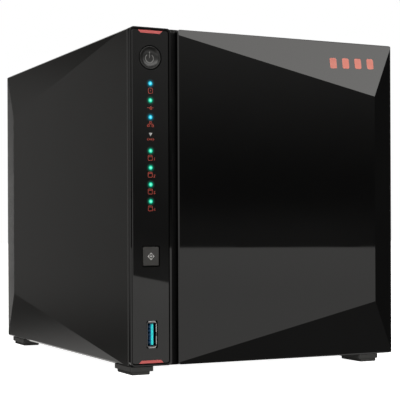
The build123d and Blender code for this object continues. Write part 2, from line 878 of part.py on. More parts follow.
with BuildSketch(Plane.XY.offset(base_top)) as foot_holes:
    with Locations(base_screw_spots):
        Circle(screw_shank_radius)

for name, wall_x in (("cage_left", bay_left - cage_sheet / 2), ("cage_right", bay_right + cage_sheet / 2)):
    with BuildPart() as cage_wall:
        with BuildSketch(front_plane(cage_back)):
            with Locations((wall_x, mid_z)):
                Rectangle(cage_sheet, panel_tall)
        extrude(amount=cage_length)
        extrude(wall_windows.sketch, amount=body_width, mode=Mode.SUBTRACT)
    save(cage_wall, name)

for name, sheet_z in (("cage_roof", bay_top + cage_sheet / 2), ("cage_floor", bay_bottom - cage_sheet / 2)):
    with BuildPart() as cage_sheet_part:
        with BuildSketch(front_plane(cage_back)):
            with Locations((bay_mid, sheet_z)):
                Rectangle(bay_width, cage_sheet)
        extrude(amount=cage_length)
        extrude(sheet_windows.sketch, amount=panel_tall, mode=Mode.SUBTRACT)
    save(cage_sheet_part, name)

# Two channels that carry the cage on the base pan, each open towards the middle.
with BuildPart() as cage_brackets:
    for web_x, flange_x in (
        (bracket_left + cage_sheet / 2, bracket_left + cage_flange / 2),
        (bracket_right - cage_sheet / 2, bracket_right - cage_flange / 2),
    ):
        with BuildSketch(front_plane(cage_back)):
            with Locations((web_x, (base_top + panel_bottom) / 2)):
                Rectangle(cage_sheet, panel_bottom - base_top)
            for flange_z in (base_top + cage_sheet / 2, panel_bottom - cage_sheet / 2):
                with Locations((flange_x, flange_z)):
                    Rectangle(cage_flange, cage_sheet)
        extrude(amount=cage_length)
    extrude(foot_holes.sketch, amount=cage_sheet, mode=Mode.SUBTRACT)
save(cage_brackets, "cage_brackets")

with BuildPart() as cage_guides:
    with BuildSketch(front_plane(cage_back)):
        for n in range(bay_count + 1):
            edge = bay_left + bay_pitch * n
            left, right = max(edge - guide_width / 2, bay_left), min(edge + guide_width / 2, bay_right)
            for z in (bay_bottom + guide_height / 2, bay_top - guide_height / 2):
                with Locations(((left + right) / 2, z)):
                    Rectangle(right - left, guide_height)
    extrude(amount=cage_length)
save(cage_guides, "cage_guides")

# ---------------------------------------------------------------- trays with their levers and latches
lever_wide = bezel_width - 2 * lever_margin
lever_step = hinge_barrel_radius + latch_flange_thick
rail_length = tray_back - bezel_back
hole_rows = [tray_back - drive_hole_back - drive_holes_along * k for k in (0, 1)]


def tray_bezel_piece(x):
    """The slotted bezel of a tray, with two lugs that carry the lever."""
    with BuildPart() as bezel:
        with Locations((x, (bezel_front + bezel_back) / 2, mid_z)):
            Box(bezel_width, tray_bezel, tray_height)
        with BuildSketch(front_plane(bezel_front)):
            with Locations((x, mid_z)):
                with GridLocations(0, bezel_slot_pitch, 1, bezel_slots):
                    SlotOverall(bezel_slot_long, bezel_slot_wide)
        extrude(amount=-tray_bezel, mode=Mode.SUBTRACT)
        for side in (-1, 1):
            lug_x = x + side * (bezel_width - lever_lug) / 2
            with BuildSketch(Plane.YZ.offset(lug_x - lever_lug / 2)):
                with Locations((hinge_y, hinge_z)):
                    Circle(hinge_barrel_radius)
                with Locations(((hinge_y + bezel_front) / 2, hinge_z)):
                    Rectangle(bezel_front - hinge_y, 2 * hinge_barrel_radius)
                with Locations((hinge_y, hinge_z)):
                    Circle(hinge_pin_radius + hinge_running_gap, mode=Mode.SUBTRACT)
            extrude(amount=lever_lug)
    return bezel


def tray_plate_piece(x):
    """The plate behind a bezel that a drive is screwed to, with windows that leave its face open."""
    plate_left = x - tray_width / 2
    with BuildPart() as plate:
        with Locations((plate_left, bezel_back, tray_bottom)):
            Box(tray_plate, rail_length, tray_height, align=Align.MIN)
        with BuildSketch(Plane.YZ.offset(plate_left)):
            for y in hole_rows:
                with Locations((y, mid_z - drive_holes_across / 2), (y, mid_z + drive_holes_across / 2)):
                    Circle(drive_hole_radius)
            with Locations((bezel_back + rail_length / 2, mid_z)):
                with GridLocations(plate_window_pitch, 0, plate_windows, 1):
                    SlotOverall(plate_window_long, plate_window_wide, rotation=90)
        extrude(amount=tray_plate, mode=Mode.SUBTRACT)
    return plate


def tray_rail_pair(x):
    """The two rails beside the plate that run on the cage's floor and under its roof."""
    with BuildPart() as rails:
        for z in (tray_bottom, tray_bottom + tray_height - tray_rail):
            with Locations((x - tray_width / 2 + tray_plate, bezel_back, z)):
                Box(tray_width - tray_plate, rail_length, tray_rail, align=Align.MIN)
    return rails


def tray_lever(x):
    """The lever across a bezel: stub axles at its foot turn in the lugs, and a window holds the latch."""
    with BuildPart() as lever:
        with Locations((x, (lever_front + lever_back) / 2, (hinge_z + lever_step + lever_top) / 2)):
            Box(lever_wide, lever_thick, lever_top - hinge_z - lever_step)
        chamfer(lever.faces().sort_by(Axis.Y)[0].edges(), lever_bevel)
        with BuildSketch(Plane.YZ.offset(x - lever_width / 2)):
            with Locations((hinge_y, hinge_z)):
                Circle(hinge_barrel_radius)
            with Locations(((lever_front + lever_back) / 2, hinge_z + lever_step / 2)):
                Rectangle(lever_thick, lever_step)
        extrude(amount=lever_width)
        with BuildSketch(Plane.YZ.offset(x - bezel_width / 2)):
            with Locations((hinge_y, hinge_z)):
                Circle(hinge_pin_radius)
        extrude(amount=bezel_width)
        with BuildSketch(front_plane(lever_front)):
            with Locations((x, window_z)):
                Rectangle(latch_width + 2 * latch_slack, window_tall)
            with Locations((x, (hinge_z + lever_step + window_z - window_tall / 2) / 2)):
                with GridLocations(lever_slot_pitch, 0, lever_slots, 1):
                    SlotOverall(lever_slot_long, lever_slot_wide, rotation=90)
        extrude(amount=-lever_thick, mode=Mode.SUBTRACT)
        with BuildSketch(front_plane(lever_back)):
            with Locations((x, window_z)):
                Rectangle(latch_width + 2 * (latch_flange + latch_slack), window_tall)
        extrude(amount=latch_flange_thick + latch_slack + light_fit, mode=Mode.SUBTRACT)
    return lever


def tray_latch(x):
    """The thumb latch that slides down in the lever, with a flange behind the window."""
    with BuildPart() as latch:
        with BuildSketch(front_plane(lever_back - light_fit)):
            with Locations((x, latch_z)):
                Rectangle(latch_width, latch_tall)
        extrude(amount=lever_thick - 2 * light_fit)
        with BuildSketch(front_plane(lever_front + light_fit)):
            with Locations((x, latch_z)):
                with GridLocations(0, latch_rib_pitch, 1, latch_ribs):
                    Rectangle(latch_width - 2 * latch_rib_inset, latch_rib_groove)
        extrude(amount=-latch_rib_depth, mode=Mode.SUBTRACT)
        with BuildSketch(front_plane(lever_back - light_fit)):
            with Locations((x, latch_z)):
                Rectangle(latch_width + 2 * latch_flange, latch_tall)
        extrude(amount=latch_flange_thick)
    return latch


for n, x in enumerate(bay_x, start=1):
    save(tray_bezel_piece(x), f"tray_bezel_{n}")
    save(tray_plate_piece(x), f"tray_plate_{n}")
    save(tray_rail_pair(x), f"tray_rails_{n}")
    save(tray_lever(x), f"tray_lever_{n}")
    save(tray_latch(x), f"tray_latch_{n}")

# ---------------------------------------------------------------- backplane
with BuildPart() as backplane:
    with BuildSketch(front_plane(backplane_back)):
        with Locations((bay_mid, mid_z)):
            Rectangle(bay_width + 2 * cage_sheet, bay_height + 2 * cage_sheet)
        for x in bay_x:
            with Locations((x + connector_wide, mid_z)):
                SlotOverall(
                    bay_height - 2 * backplane_slot_inset,
                    backplane_slot_wide,
                    rotation=90,
                    mode=Mode.SUBTRACT,
                )
    extrude(amount=board_thick)
save(backplane, "backplane")

connector_x = [x - tray_width / 2 + tray_plate + connector_wide / 2 + 1.0 for x in bay_x]

with BuildPart() as sata_connectors:
    with BuildSketch(front_plane(backplane_front)):
        with Locations([(x, mid_z + connector_rise) for x in connector_x]):
            Rectangle(connector_wide, connector_long)
    extrude(amount=connector_deep)
    with BuildSketch(front_plane(backplane_front - connector_deep)):
        with Locations([(x, mid_z + connector_rise - power_slot_drop) for x in connector_x]):
            Rectangle(connector_slot, power_slot_long)
        with Locations([(x, mid_z + connector_rise + data_slot_rise) for x in connector_x]):
            Rectangle(connector_slot, data_slot_long)
    extrude(amount=-connector_slot_deep, mode=Mode.SUBTRACT)
save(sata_connectors, "sata_connectors")

# ---------------------------------------------------------------- main board
board_front = front_board_face + board_thick + board_margin
board_back = panel_front - fit_gap
board_length = board_back - board_front
board_y = (board_front + board_back) / 2
board_tall = body_height - 2 * (frame_skin + board_margin)
standoff_spots = [
    (y, z)
    for y in (board_front + board_margin, cage_back - board_margin)
    for z in (bay_bottom + board_margin, bay_top - board_margin)
]

with BuildPart() as main_board:
    with BuildSketch(Plane.YZ.offset(board_face)):
        with Locations((board_y, mid_z)):
            Rectangle(board_length, board_tall)
        with Locations(standoff_spots):
            Circle(standoff_bore, mode=Mode.SUBTRACT)
    extrude(amount=board_thick)
save(main_board, "main_board")

with BuildPart() as board_standoffs:
    with BuildSketch(Plane.YZ.offset(board_right)):
        with Locations(standoff_spots):
            Circle(standoff_radius)
            Circle(standoff_bore, mode=Mode.SUBTRACT)
    extrude(amount=board_standoff)
save(board_standoffs, "board_standoffs")

sink_y = board_front + sink_along
sink_z = mid_z + sink_rise

with BuildPart() as cpu_heatsink:
    with Locations((board_face - processor_tall - sink_base / 2, sink_y, sink_z)):
        Box(sink_base, sink_size, sink_size)
    with Locations((board_face - processor_tall - sink_tall / 2, sink_y, sink_z)):
        with GridLocations(0, (sink_size - sink_fin) / (sink_fins - 1), 1, sink_fins):
            Box(sink_tall, sink_fin, sink_size)
save(cpu_heatsink, "cpu_heatsink")

with BuildPart() as board_chips:
    for y, z, long, tall, thick in (
        (sink_y, sink_z, processor_size, processor_size, processor_tall),
        (sink_y - 44.0, sink_z + 12.0, 9.0, 13.0, 1.2),
        (sink_y - 44.0, sink_z - 8.0, 9.0, 13.0, 1.2),
        (sink_y + 46.0, sink_z - 4.0, 12.0, 12.0, 1.2),
        (sink_y + 12.0, sink_z - 52.0, 14.0, 20.0, 1.4),
        (sink_y - 30.0, sink_z - 60.0, 10.0, 10.0, 4.5),
        (sink_y - 46.0, sink_z - 60.0, 10.0, 10.0, 4.5),
    ):
        with Locations((board_face - thick / 2, y, z)):
            Box(thick, long, tall)
save(board_chips, "board_chips")

# ---------------------------------------------------------------- rear connectors
port_mouth = panel_back + port_proud

with BuildPart() as rear_usb_shells:
    for name in ("usb_upper", "usb_lower"):
        add(usb_shell(usb_port_x, port_z[name], port_mouth, 1))
save(rear_usb_shells, "rear_usb_shells")

with BuildPart() as usb_tongues:
    add(usb_tongue(usb_x, usb_z, usb_front, -1))
    for name in ("usb_upper", "usb_lower"):
        add(usb_tongue(usb_port_x, port_z[name], port_mouth, 1))
save(usb_tongues, "usb_tongues")

with BuildPart() as lan_port:
    with BuildSketch(front_plane(port_mouth)):
        with Locations((lan_x, port_z["lan"])):
            Rectangle(lan_tall, lan_wide)
    extrude(amount=lan_length)
    with BuildSketch(front_plane(port_mouth)):
        with Locations((lan_x, port_z["lan"])):
            Rectangle(lan_mouth_tall, lan_mouth_wide)
        with Locations((lan_x - lan_mouth_tall / 2, port_z["lan"])):
            Rectangle(lan_clip_deep, lan_clip_wide)
    extrude(amount=lan_mouth_depth, mode=Mode.SUBTRACT)
save(lan_port, "lan_port")

with BuildPart() as dc_jack:
    with BuildSketch(front_plane(port_mouth)):
        with Locations((jack_x, port_z["jack"])):
            RectangleRounded(jack_size, jack_size, 0.6)
    extrude(amount=jack_length)
    with BuildSketch(front_plane(port_mouth)):
        with Locations((jack_x, port_z["jack"])):
            Circle(jack_bore_radius)
            Circle(jack_pin_radius, mode=Mode.SUBTRACT)
    extrude(amount=jack_length - jack_end_wall, mode=Mode.SUBTRACT)
save(dc_jack, "dc_jack")

with BuildPart() as reset_button:
    with BuildSketch(front_plane(panel_back)):
        with Locations((jack_x, reset_z)):
            Circle(reset_radius)
    extrude(amount=reset_length)
    with BuildSketch(front_plane(panel_front - reset_gap)):
        with Locations((jack_x, reset_z)):
            Circle(reset_head)
    extrude(amount=reset_flange)
save(reset_button, "reset_button")

# ---------------------------------------------------------------- rear panel
panel_low, panel_high = inner_bottom, inner_top
panel_mid = (panel_low + panel_high) / 2
edge_screws = [
    (x, z)
    for x in (-inner_half + screw_inset, inner_half - screw_inset)
    for z in (panel_low + screw_inset, panel_high - screw_inset)
]
fan_holes = [
    (fan_x + sx * fan_hole_pitch / 2, fan_z + sz * fan_hole_pitch / 2) for sx in (-1, 1) for sz in (-1, 1)
]
grille_reach = fan_duct_radius - grille_hex - 1.0
grille_across = 2 * int(fan_duct_radius / grille_pitch) + 1

with BuildPart() as rear_panel:
    with BuildSketch(front_plane(panel_back)):
        with Locations((0, panel_mid)):
            Rectangle(2 * inner_half, panel_high - panel_low)
        with Locations(edge_screws):
            Circle(screw_shank_radius + light_fit, mode=Mode.SUBTRACT)
        with Locations(fan_holes):
            Circle(fan_screw_radius, mode=Mode.SUBTRACT)
        with Locations((usb_port_x, port_z["usb_upper"]), (usb_port_x, port_z["usb_lower"])):
            Rectangle(usb_short + 2 * port_gap, usb_long + 2 * port_gap, mode=Mode.SUBTRACT)
        with Locations((lan_x, port_z["lan"])):
            Rectangle(lan_tall + 2 * port_gap, lan_wide + 2 * port_gap, mode=Mode.SUBTRACT)
        with Locations((jack_x, port_z["jack"])):
            Rectangle(jack_size + 2 * port_gap, jack_size + 2 * port_gap, mode=Mode.SUBTRACT)
        with Locations((jack_x, reset_z)):
            Circle(reset_radius + reset_gap, mode=Mode.SUBTRACT)
        with Locations((jack_x, lock_z)):
            RectangleRounded(lock_slot_long, lock_slot_short, 0.8, mode=Mode.SUBTRACT)
    extrude(amount=panel_sheet)
    cells = [place.position for place in HexLocations(grille_pitch, grille_across, grille_across).local_locations]
    with BuildSketch(front_plane(panel_back)):
        with Locations([(fan_x + c.X, fan_z + c.Y) for c in cells if c.length < grille_reach]):
            RegularPolygon(grille_hex, 6, rotation=30)
    extrude(amount=panel_sheet, mode=Mode.SUBTRACT)
save(rear_panel, "rear_panel")


with BuildPart() as screws:
    # Pan-head screws with a cross recess, at the panel's corners and through the fan's corners.
    with BuildSketch(front_plane(panel_back)):
        with Locations(edge_screws + fan_holes):
            Circle(screw_head_radius)
    extrude(amount=-screw_head_height)
    fillet(screws.edges().group_by(Axis.Y)[-1], screw_head_round)
    with BuildSketch(front_plane(panel_back + screw_head_height)):
        with Locations(edge_screws + fan_holes):
            Rectangle(screw_cross_long, screw_cross_wide)
            Rectangle(screw_cross_wide, screw_cross_long)
    extrude(amount=screw_cross_deep, mode=Mode.SUBTRACT)
    for spots, shank_length in ((edge_screws, panel_screw_length), (fan_holes, fan_screw_length)):
        with BuildSketch(front_plane(panel_back)):
            with Locations(spots):
                Circle(screw_shank_radius)
        extrude(amount=shank_length)
    # Low-head screws from below, through the base pan into the cage's brackets.
    with BuildSketch(Plane.XY.offset(inner_bottom)):
        with Locations(base_screw_spots):
            Circle(base_screw_radius)
    extrude(amount=-base_screw_head)
    fillet(screws.edges().group_by(Axis.Z)[0], base_screw_head / 3)
    with BuildSketch(Plane.XY.offset(inner_bottom)):
        with Locations(base_screw_spots):
            Circle(screw_shank_radius)
    extrude(amount=base_screw_length)
save(screws, "screws")

# ---------------------------------------------------------------- fan
hub_back = fan_back - fan_motor_depth - fan_end_gap / 2
hub_front = fan_front + fan_end_gap
shaft_bore = fan_motor_depth - 1.0

with BuildPart() as fan_frame:
    with BuildSketch(front_plane(fan_back)):
        with Locations((fan_x, fan_z)):
            RectangleRounded(fan_size, fan_size, fan_corner)
            Circle(fan_duct_radius, mode=Mode.SUBTRACT)
        with Locations(fan_holes):
            Circle(fan_screw_radius, mode=Mode.SUBTRACT)
    extrude(amount=fan_depth)
    with BuildSketch(front_plane(fan_back)):
        with Locations((fan_x, fan_z)):
            Rectangle(2 * fan_duct_radius + fan_tip_gap, fan_strut, rotation=45)
            Rectangle(2 * fan_duct_radius + fan_tip_gap, fan_strut, rotation=-45)
            Circle(fan_hub_radius)
    extrude(amount=fan_motor_depth)
    with BuildSketch(front_plane(fan_back - fan_motor_depth)):
        with Locations((fan_x, fan_z)):
            Circle(fan_shaft_radius + hinge_running_gap)
    extrude(amount=-shaft_bore, mode=Mode.SUBTRACT)
save(fan_frame, "fan_frame")

blade_inner = fan_hub_radius - blade_root
blade_outer = fan_duct_radius - fan_tip_gap - blade_tip_margin

with BuildPart() as fan_rotor:
    with BuildSketch(front_plane(hub_back)):
        with Locations((fan_x, fan_z)):
            Circle(fan_hub_radius)
    extrude(amount=hub_back - hub_front)
    fillet(fan_rotor.edges().group_by(Axis.Y)[0], fan_hub_round)
    for n in range(fan_blades):
        with Locations(Location((fan_x, (hub_front + hub_back) / 2, fan_z), (0, 360 / fan_blades * n, 0))):
            with Locations(Location(((blade_inner + blade_outer) / 2, 0, 0), (blade_tilt, 0, 0))):
                Box(blade_outer - blade_inner, blade_thick, blade_chord)
    with BuildSketch(front_plane(hub_back)):
        with Locations((fan_x, fan_z)):
            Circle(fan_shaft_radius)
    extrude(amount=-shaft_bore)
save(fan_rotor, "fan_rotor")
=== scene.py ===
"""Looks for the four-bay network storage enclosure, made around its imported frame."""

import math

import bpy
import numpy as np
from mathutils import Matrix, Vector


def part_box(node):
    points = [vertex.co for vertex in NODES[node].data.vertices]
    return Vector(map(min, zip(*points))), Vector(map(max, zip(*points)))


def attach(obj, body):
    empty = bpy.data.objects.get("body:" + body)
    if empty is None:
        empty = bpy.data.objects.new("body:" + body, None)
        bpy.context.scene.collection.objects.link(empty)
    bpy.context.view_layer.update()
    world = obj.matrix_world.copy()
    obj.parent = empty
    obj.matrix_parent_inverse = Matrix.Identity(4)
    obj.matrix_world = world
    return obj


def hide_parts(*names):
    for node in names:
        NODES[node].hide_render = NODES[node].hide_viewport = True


bl_info = {
    "name": "Network storage enclosure",
    "version": (1, 0, 0),
    "blender": (4, 5, 0),
    "location": "3D View > Sidebar > Enclosure",
    "description": "Finishes, lights and details of a four-bay network storage enclosure",
    "category": "Object",
}

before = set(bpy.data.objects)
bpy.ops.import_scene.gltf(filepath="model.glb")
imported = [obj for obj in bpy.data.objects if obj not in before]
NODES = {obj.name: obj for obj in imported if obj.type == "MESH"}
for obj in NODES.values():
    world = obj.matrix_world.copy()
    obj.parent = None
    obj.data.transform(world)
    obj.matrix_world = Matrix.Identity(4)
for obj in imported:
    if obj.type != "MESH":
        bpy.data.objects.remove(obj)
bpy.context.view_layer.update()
MM = 0.001


# ---------------------------------------------------------------- node helpers
class Tree:
    """Adds and joins nodes of one node tree."""

    def __init__(self, tree):
        self.tree = tree
        tree.nodes.clear()

    def add(self, kind, inputs=None, **props):
        """A node of a kind, with its properties set and its inputs linked or given a value."""
        node = self.tree.nodes.new(kind)
        for key, value in props.items():
            setattr(node, key, value)
        for key, value in (inputs or {}).items():
            self.put(node.inputs[key], value)
        return node

    def put(self, socket, value):
        """Links a socket to another one, or sets its own value."""
        if isinstance(value, bpy.types.NodeSocket):
            self.tree.links.new(value, socket)
        else:
            socket.default_value = value

    def math(self, operation, *values):
        """The result of a Math node."""
        node = self.add("ShaderNodeMath", operation=operation)
        for socket, value in zip(node.inputs, values):
            self.put(socket, value)
        return node.outputs[0]

    def smooth(self, value, low, high, start=0.0, end=1.0):
        """A value carried smoothly from one range to another."""
        return self.add(
            "ShaderNodeMapRange",
            {"Value": value, "From Min": low, "From Max": high, "To Min": start, "To Max": end},
            interpolation_type="SMOOTHSTEP",
        ).outputs[0]

    def noise(self, vector, size_mm, detail=2.0, roughness=0.5):
        """Noise whose lumps are about size_mm across."""
        return self.add(
            "ShaderNodeTexNoise",
            {"Vector": vector, "Scale": 1.0 / (size_mm * MM), "Detail": detail, "Roughness": roughness},
        ).outputs["Fac"]

    def ramp(self, value, *stops):
        """A colour ramp through stops of (position, colour)."""
        node = self.add("ShaderNodeValToRGB", {"Fac": value})
        while len(node.color_ramp.elements) < len(stops):
            node.color_ramp.elements.new(0.5)
        for element, (position, colour) in zip(node.color_ramp.elements, stops):
            element.position = position
            element.color = (*colour, 1.0)
        return node.outputs["Color"]


def shade(colour, factor):
    """A colour made lighter or darker."""
    return tuple(min(1.0, c * factor) for c in colour)


def new_material(name):
    """An empty node material with a Principled shader, as (material, tree, shader, object coordinates)."""
    material = bpy.data.materials.new(name)
    material.use_nodes = True
    tree = Tree(material.node_tree)
    shader = tree.add("ShaderNodeBsdfPrincipled")
    tree.add("ShaderNodeOutputMaterial", {"Surface": shader.outputs["BSDF"]})
    place = tree.add("ShaderNodeTexCoord").outputs["Object"]
    return material, tree, shader, place


def coloured(tree, shader, place, colour, spread, size_mm):
    """Base colour with soft variation: colour times 1 - spread to 1 + spread over lumps of size_mm."""
    cloud = tree.noise(place, size_mm, 3.0)
    tree.put(
        shader.inputs["Base Color"],
        tree.ramp(cloud, (0.3, shade(colour, 1 - spread)), (0.7, shade(colour, 1 + spread))),
    )


def grained(tree, shader, place, size_mm, depth_mm):
    """Bump of fine grain, with lumps size_mm across and depth_mm high."""
    grain = tree.noise(place, size_mm, 3.0, 0.6)
    bump = tree.add("ShaderNodeBump", {"Height": grain, "Strength": 1.0, "Distance": depth_mm * MM})
    tree.put(shader.inputs["Normal"], bump.outputs["Normal"])


def moulded(name, colour, roughness, grain_mm=0.35, grain_depth=0.01, spread=0.12, specular=0.5):
    """Moulded plastic: a little cloudy, with fine grain and slightly uneven gloss."""
    material, tree, shader, place = new_material(name)
    coloured(tree, shader, place, colour, spread, 14.0)
    polish = tree.noise(place, 9.0, 4.0)
    tree.put(shader.inputs["Roughness"], tree.smooth(polish, 0.25, 0.75, roughness * 0.88, roughness * 1.14))
    shader.inputs["Specular IOR Level"].default_value = specular
    grained(tree, shader, place, grain_mm, grain_depth)
    return material


def plated(name, colour, roughness, brush_axis=None, spangle_mm=6.0):
    """Plated sheet metal: patchy crystals, and fine brushing along an axis if one is given."""
    material, tree, shader, place = new_material(name)
    shader.inputs["Metallic"].default_value = 1.0
    cells = tree.add(
        "ShaderNodeTexVoronoi", {"Vector": place, "Scale": 1.0 / (spangle_mm * MM)}
    ).outputs["Color"]
    tint = tree.add("ShaderNodeRGBToBW", {"Color": cells}).outputs[0]
    tree.put(
        shader.inputs["Base Color"],
        tree.ramp(tint, (0.1, shade(colour, 0.86)), (0.9, shade(colour, 1.08))),
    )
    tree.put(shader.inputs["Roughness"], tree.smooth(tint, 0.0, 1.0, roughness * 0.8, roughness * 1.2))
    if brush_axis is not None:
        scale = [60.0, 60.0, 60.0]
        scale[brush_axis] = 2.0
        lines = tree.add("ShaderNodeMapping", {"Vector": place, "Scale": scale}).outputs[0]
        brush = tree.add("ShaderNodeTexNoise", {"Vector": lines, "Scale": 60.0, "Detail": 4.0}).outputs[0]
        bump = tree.add("ShaderNodeBump", {"Height": brush, "Strength": 0.4, "Distance": 0.004 * MM})
        tree.put(shader.inputs["Normal"], bump.outputs["Normal"])
    return material


def finish(material, *names):
    """Gives CAD nodes a finish."""
    for name in names:
        for slot in NODES[name].material_slots:
            slot.material = material


# ---------------------------------------------------------------- surfaces
def add_piece(name, points, faces, material, slot, smooth=True):
    """A mesh piece in the scene from an array of points in metres and a list of faces, turned outwards."""
    mesh = bpy.data.meshes.new(name)
    mesh.from_pydata(np.asarray(points, float).tolist(), [], [list(map(int, face)) for face in faces])
    mesh.validate()
    mesh.polygons.foreach_set("use_smooth", np.full(len(mesh.polygons), smooth))
    mesh.materials.append(material)
    piece = bpy.data.objects.new(name, mesh)
    bpy.context.scene.collection.objects.link(piece)
    return piece


def ring_faces(rings, count, loop=True):
    """Quads between successive rings of count points each, the last joined to the first if loop."""
    ring, step = np.meshgrid(np.arange(rings if loop else rings - 1), np.arange(count), indexing="ij")
    after, beside = (ring + 1) % rings, (step + 1) % count
    quads = np.stack(
        [ring * count + step, ring * count + beside, after * count + beside, after * count + step], axis=-1
    )
    return quads.reshape(-1, 4)


def stroke(path, width, thick, closed=False):
    """A flat raised line: a rectangle width by thick carried along a path of (x, z) points.

    At each point the line's sides stand half a width away along the mitred normal of its two runs.
    """
    path = np.asarray(path, float)
    if closed:
        before, after = path - np.roll(path, 1, 0), np.roll(path, -1, 0) - path
    else:
        before = np.diff(path, axis=0, prepend=path[:1] * 2 - path[1:2])
        after = np.diff(path, axis=0, append=path[-1:] * 2 - path[-2:-1])
    before /= np.linalg.norm(before, axis=1)[:, None]
    after /= np.linalg.norm(after, axis=1)[:, None]
    along = before + after
    along /= np.maximum(np.linalg.norm(along, axis=1), 1e-9)[:, None]
    normal = np.stack([-along[:, 1], along[:, 0]], 1)
    mitre = width / 2 / np.maximum(np.abs((normal * np.stack([-after[:, 1], after[:, 0]], 1)).sum(1)), 0.5)
    left, right = path + normal * mitre[:, None], path - normal * mitre[:, None]
    front, back = np.zeros(len(path)), np.full(len(path), thick)
    profile = [(left, front), (right, front), (right, back), (left, back)]
    points = np.stack([np.column_stack([side[:, 0], depth, side[:, 1]]) for side, depth in profile], 1)
    faces = ring_faces(len(path), 4, closed).tolist()
    if not closed:
        last = 4 * (len(path) - 1)
        faces += [[3, 2, 1, 0], [last, last + 1, last + 2, last + 3]]
    return points.reshape(-1, 3), faces


def plate(outline, thick):
    """A flat raised shape: a closed outline of (x, z) points and the same outline thick behind it."""
    outline = np.asarray(outline, float)
    count = len(outline)
    front = np.column_stack([outline[:, 0], np.zeros(count), outline[:, 1]])
    points = np.concatenate([front, front + (0, thick, 0)])
    faces = ring_faces(2, count, False)[:, ::-1].tolist()
    return points, faces + [list(range(count)), list(range(count, 2 * count))[::-1]]


def arc(centre, radius, start, end, count=24):
    """Points on a circle about a centre, from one angle to another in degrees, 0 to the right."""
    turn = np.radians(np.linspace(start, end, count))
    return np.column_stack([centre[0] + radius * np.cos(turn), centre[1] + radius * np.sin(turn)])


def rounded(width, height, radius, corner=7):
    """Outline of a rounded rectangle about the origin: four quarter circles joined by straight sides."""
    turn = np.radians(np.linspace(0, 90, corner))
    quarters = []
    for k, (sx, sz) in enumerate(((1, 1), (-1, 1), (-1, -1), (1, -1))):
        angle = turn + math.radians(90 * k)
        centre = (sx * (width / 2 - radius), sz * (height / 2 - radius))
        quarters.append(np.array(centre) + radius * np.column_stack([np.cos(angle), np.sin(angle)]))
    return np.concatenate(quarters)


def joined(parts):
    """Several (points, faces) made one."""
    points, faces, first = [], [], 0
    for part_points, part_faces in parts:
        points.append(part_points)
        faces += [[index + first for index in face] for face in part_faces]
        first += len(part_points)
    return np.concatenate(points), faces


def lathe(profile, count=96):
    """A turned shape about the Y axis: a profile of (radius, y) points carried round a full circle.

    A point at radius r and turn t stands at x = r cos t, z = r sin t. One point closes each end.
    """
    profile = np.asarray(profile, float)
    turn = np.linspace(0, 2 * np.pi, count, endpoint=False)
    radius, depth = profile[1:-1, :1], profile[1:-1, 1:]
    points = np.stack([radius * np.cos(turn), depth + 0 * turn, radius * np.sin(turn)], -1).reshape(-1, 3)
    rings = len(profile) - 2
    faces = ring_faces(rings, count, False)[:, ::-1].tolist()
    first, last = len(points), len(points) + 1
    ends = [(0, profile[0, 1], 0), (0, profile[-1, 1], 0)]
    step = np.arange(count)
    beside = (step + 1) % count
    tail = (rings - 1) * count
    faces += np.column_stack([step, beside, np.full(count, first)]).tolist()
    faces += np.column_stack([tail + beside, tail + step, np.full(count, last)]).tolist()
    return np.concatenate([points, ends]), faces


def placed(part, centre, scale=MM):
    """Points in millimetres moved to a centre in metres."""
    points, faces = part
    return np.asarray(points) * scale + np.asarray(centre), faces


def face_of(node, x, z):
    """The front face of a CAD node under three spots round (x, z), as y = a + b x + c z."""
    spots = np.array([(x, z), (x + 4 * MM, z), (x, z + 4 * MM)])
    depths = []
    for spot_x, spot_z in spots:
        hit, place, _, _ = NODES[node].ray_cast(Vector((spot_x, -1.0, spot_z)), Vector((0.0, 1.0, 0.0)))
        if not hit:
            raise RuntimeError("no face of " + node + " at the spot")
        depths.append(place.y)
    return np.linalg.solve(np.column_stack([np.ones(3), spots]), depths)


def laid_on(part, plane, sunk):
    """Points whose y is a depth behind the face, laid on the plane y = a + b x + c z and sunk into it."""
    points, faces = part
    points = np.array(points, float)
    points[:, 1] += plane[0] + plane[1] * points[:, 0] + plane[2] * points[:, 2] - sunk
    return points, faces


# ---------------------------------------------------------------- world
def soft_box(tree, azimuth, height, centre, half, edge, strength):
    """Light from a soft-edged window of directions.

    Angles are in degrees, azimuth 0 in front and rising to the right. The light falls smoothly from
    strength to nothing over the edge, across and up alike.
    """
    across = tree.math("WRAP", tree.math("SUBTRACT", azimuth, centre[0]), 180.0, -180.0)
    across = tree.math("ABSOLUTE", across)
    up = tree.math("ABSOLUTE", tree.math("SUBTRACT", height, centre[1]))
    inside = tree.math(
        "MULTIPLY",
        tree.smooth(across, half[0] + edge[0], half[0], 0.0, 1.0),
        tree.smooth(up, half[1] + edge[1], half[1], 0.0, 1.0),
    )
    return tree.math("MULTIPLY", inside, strength)


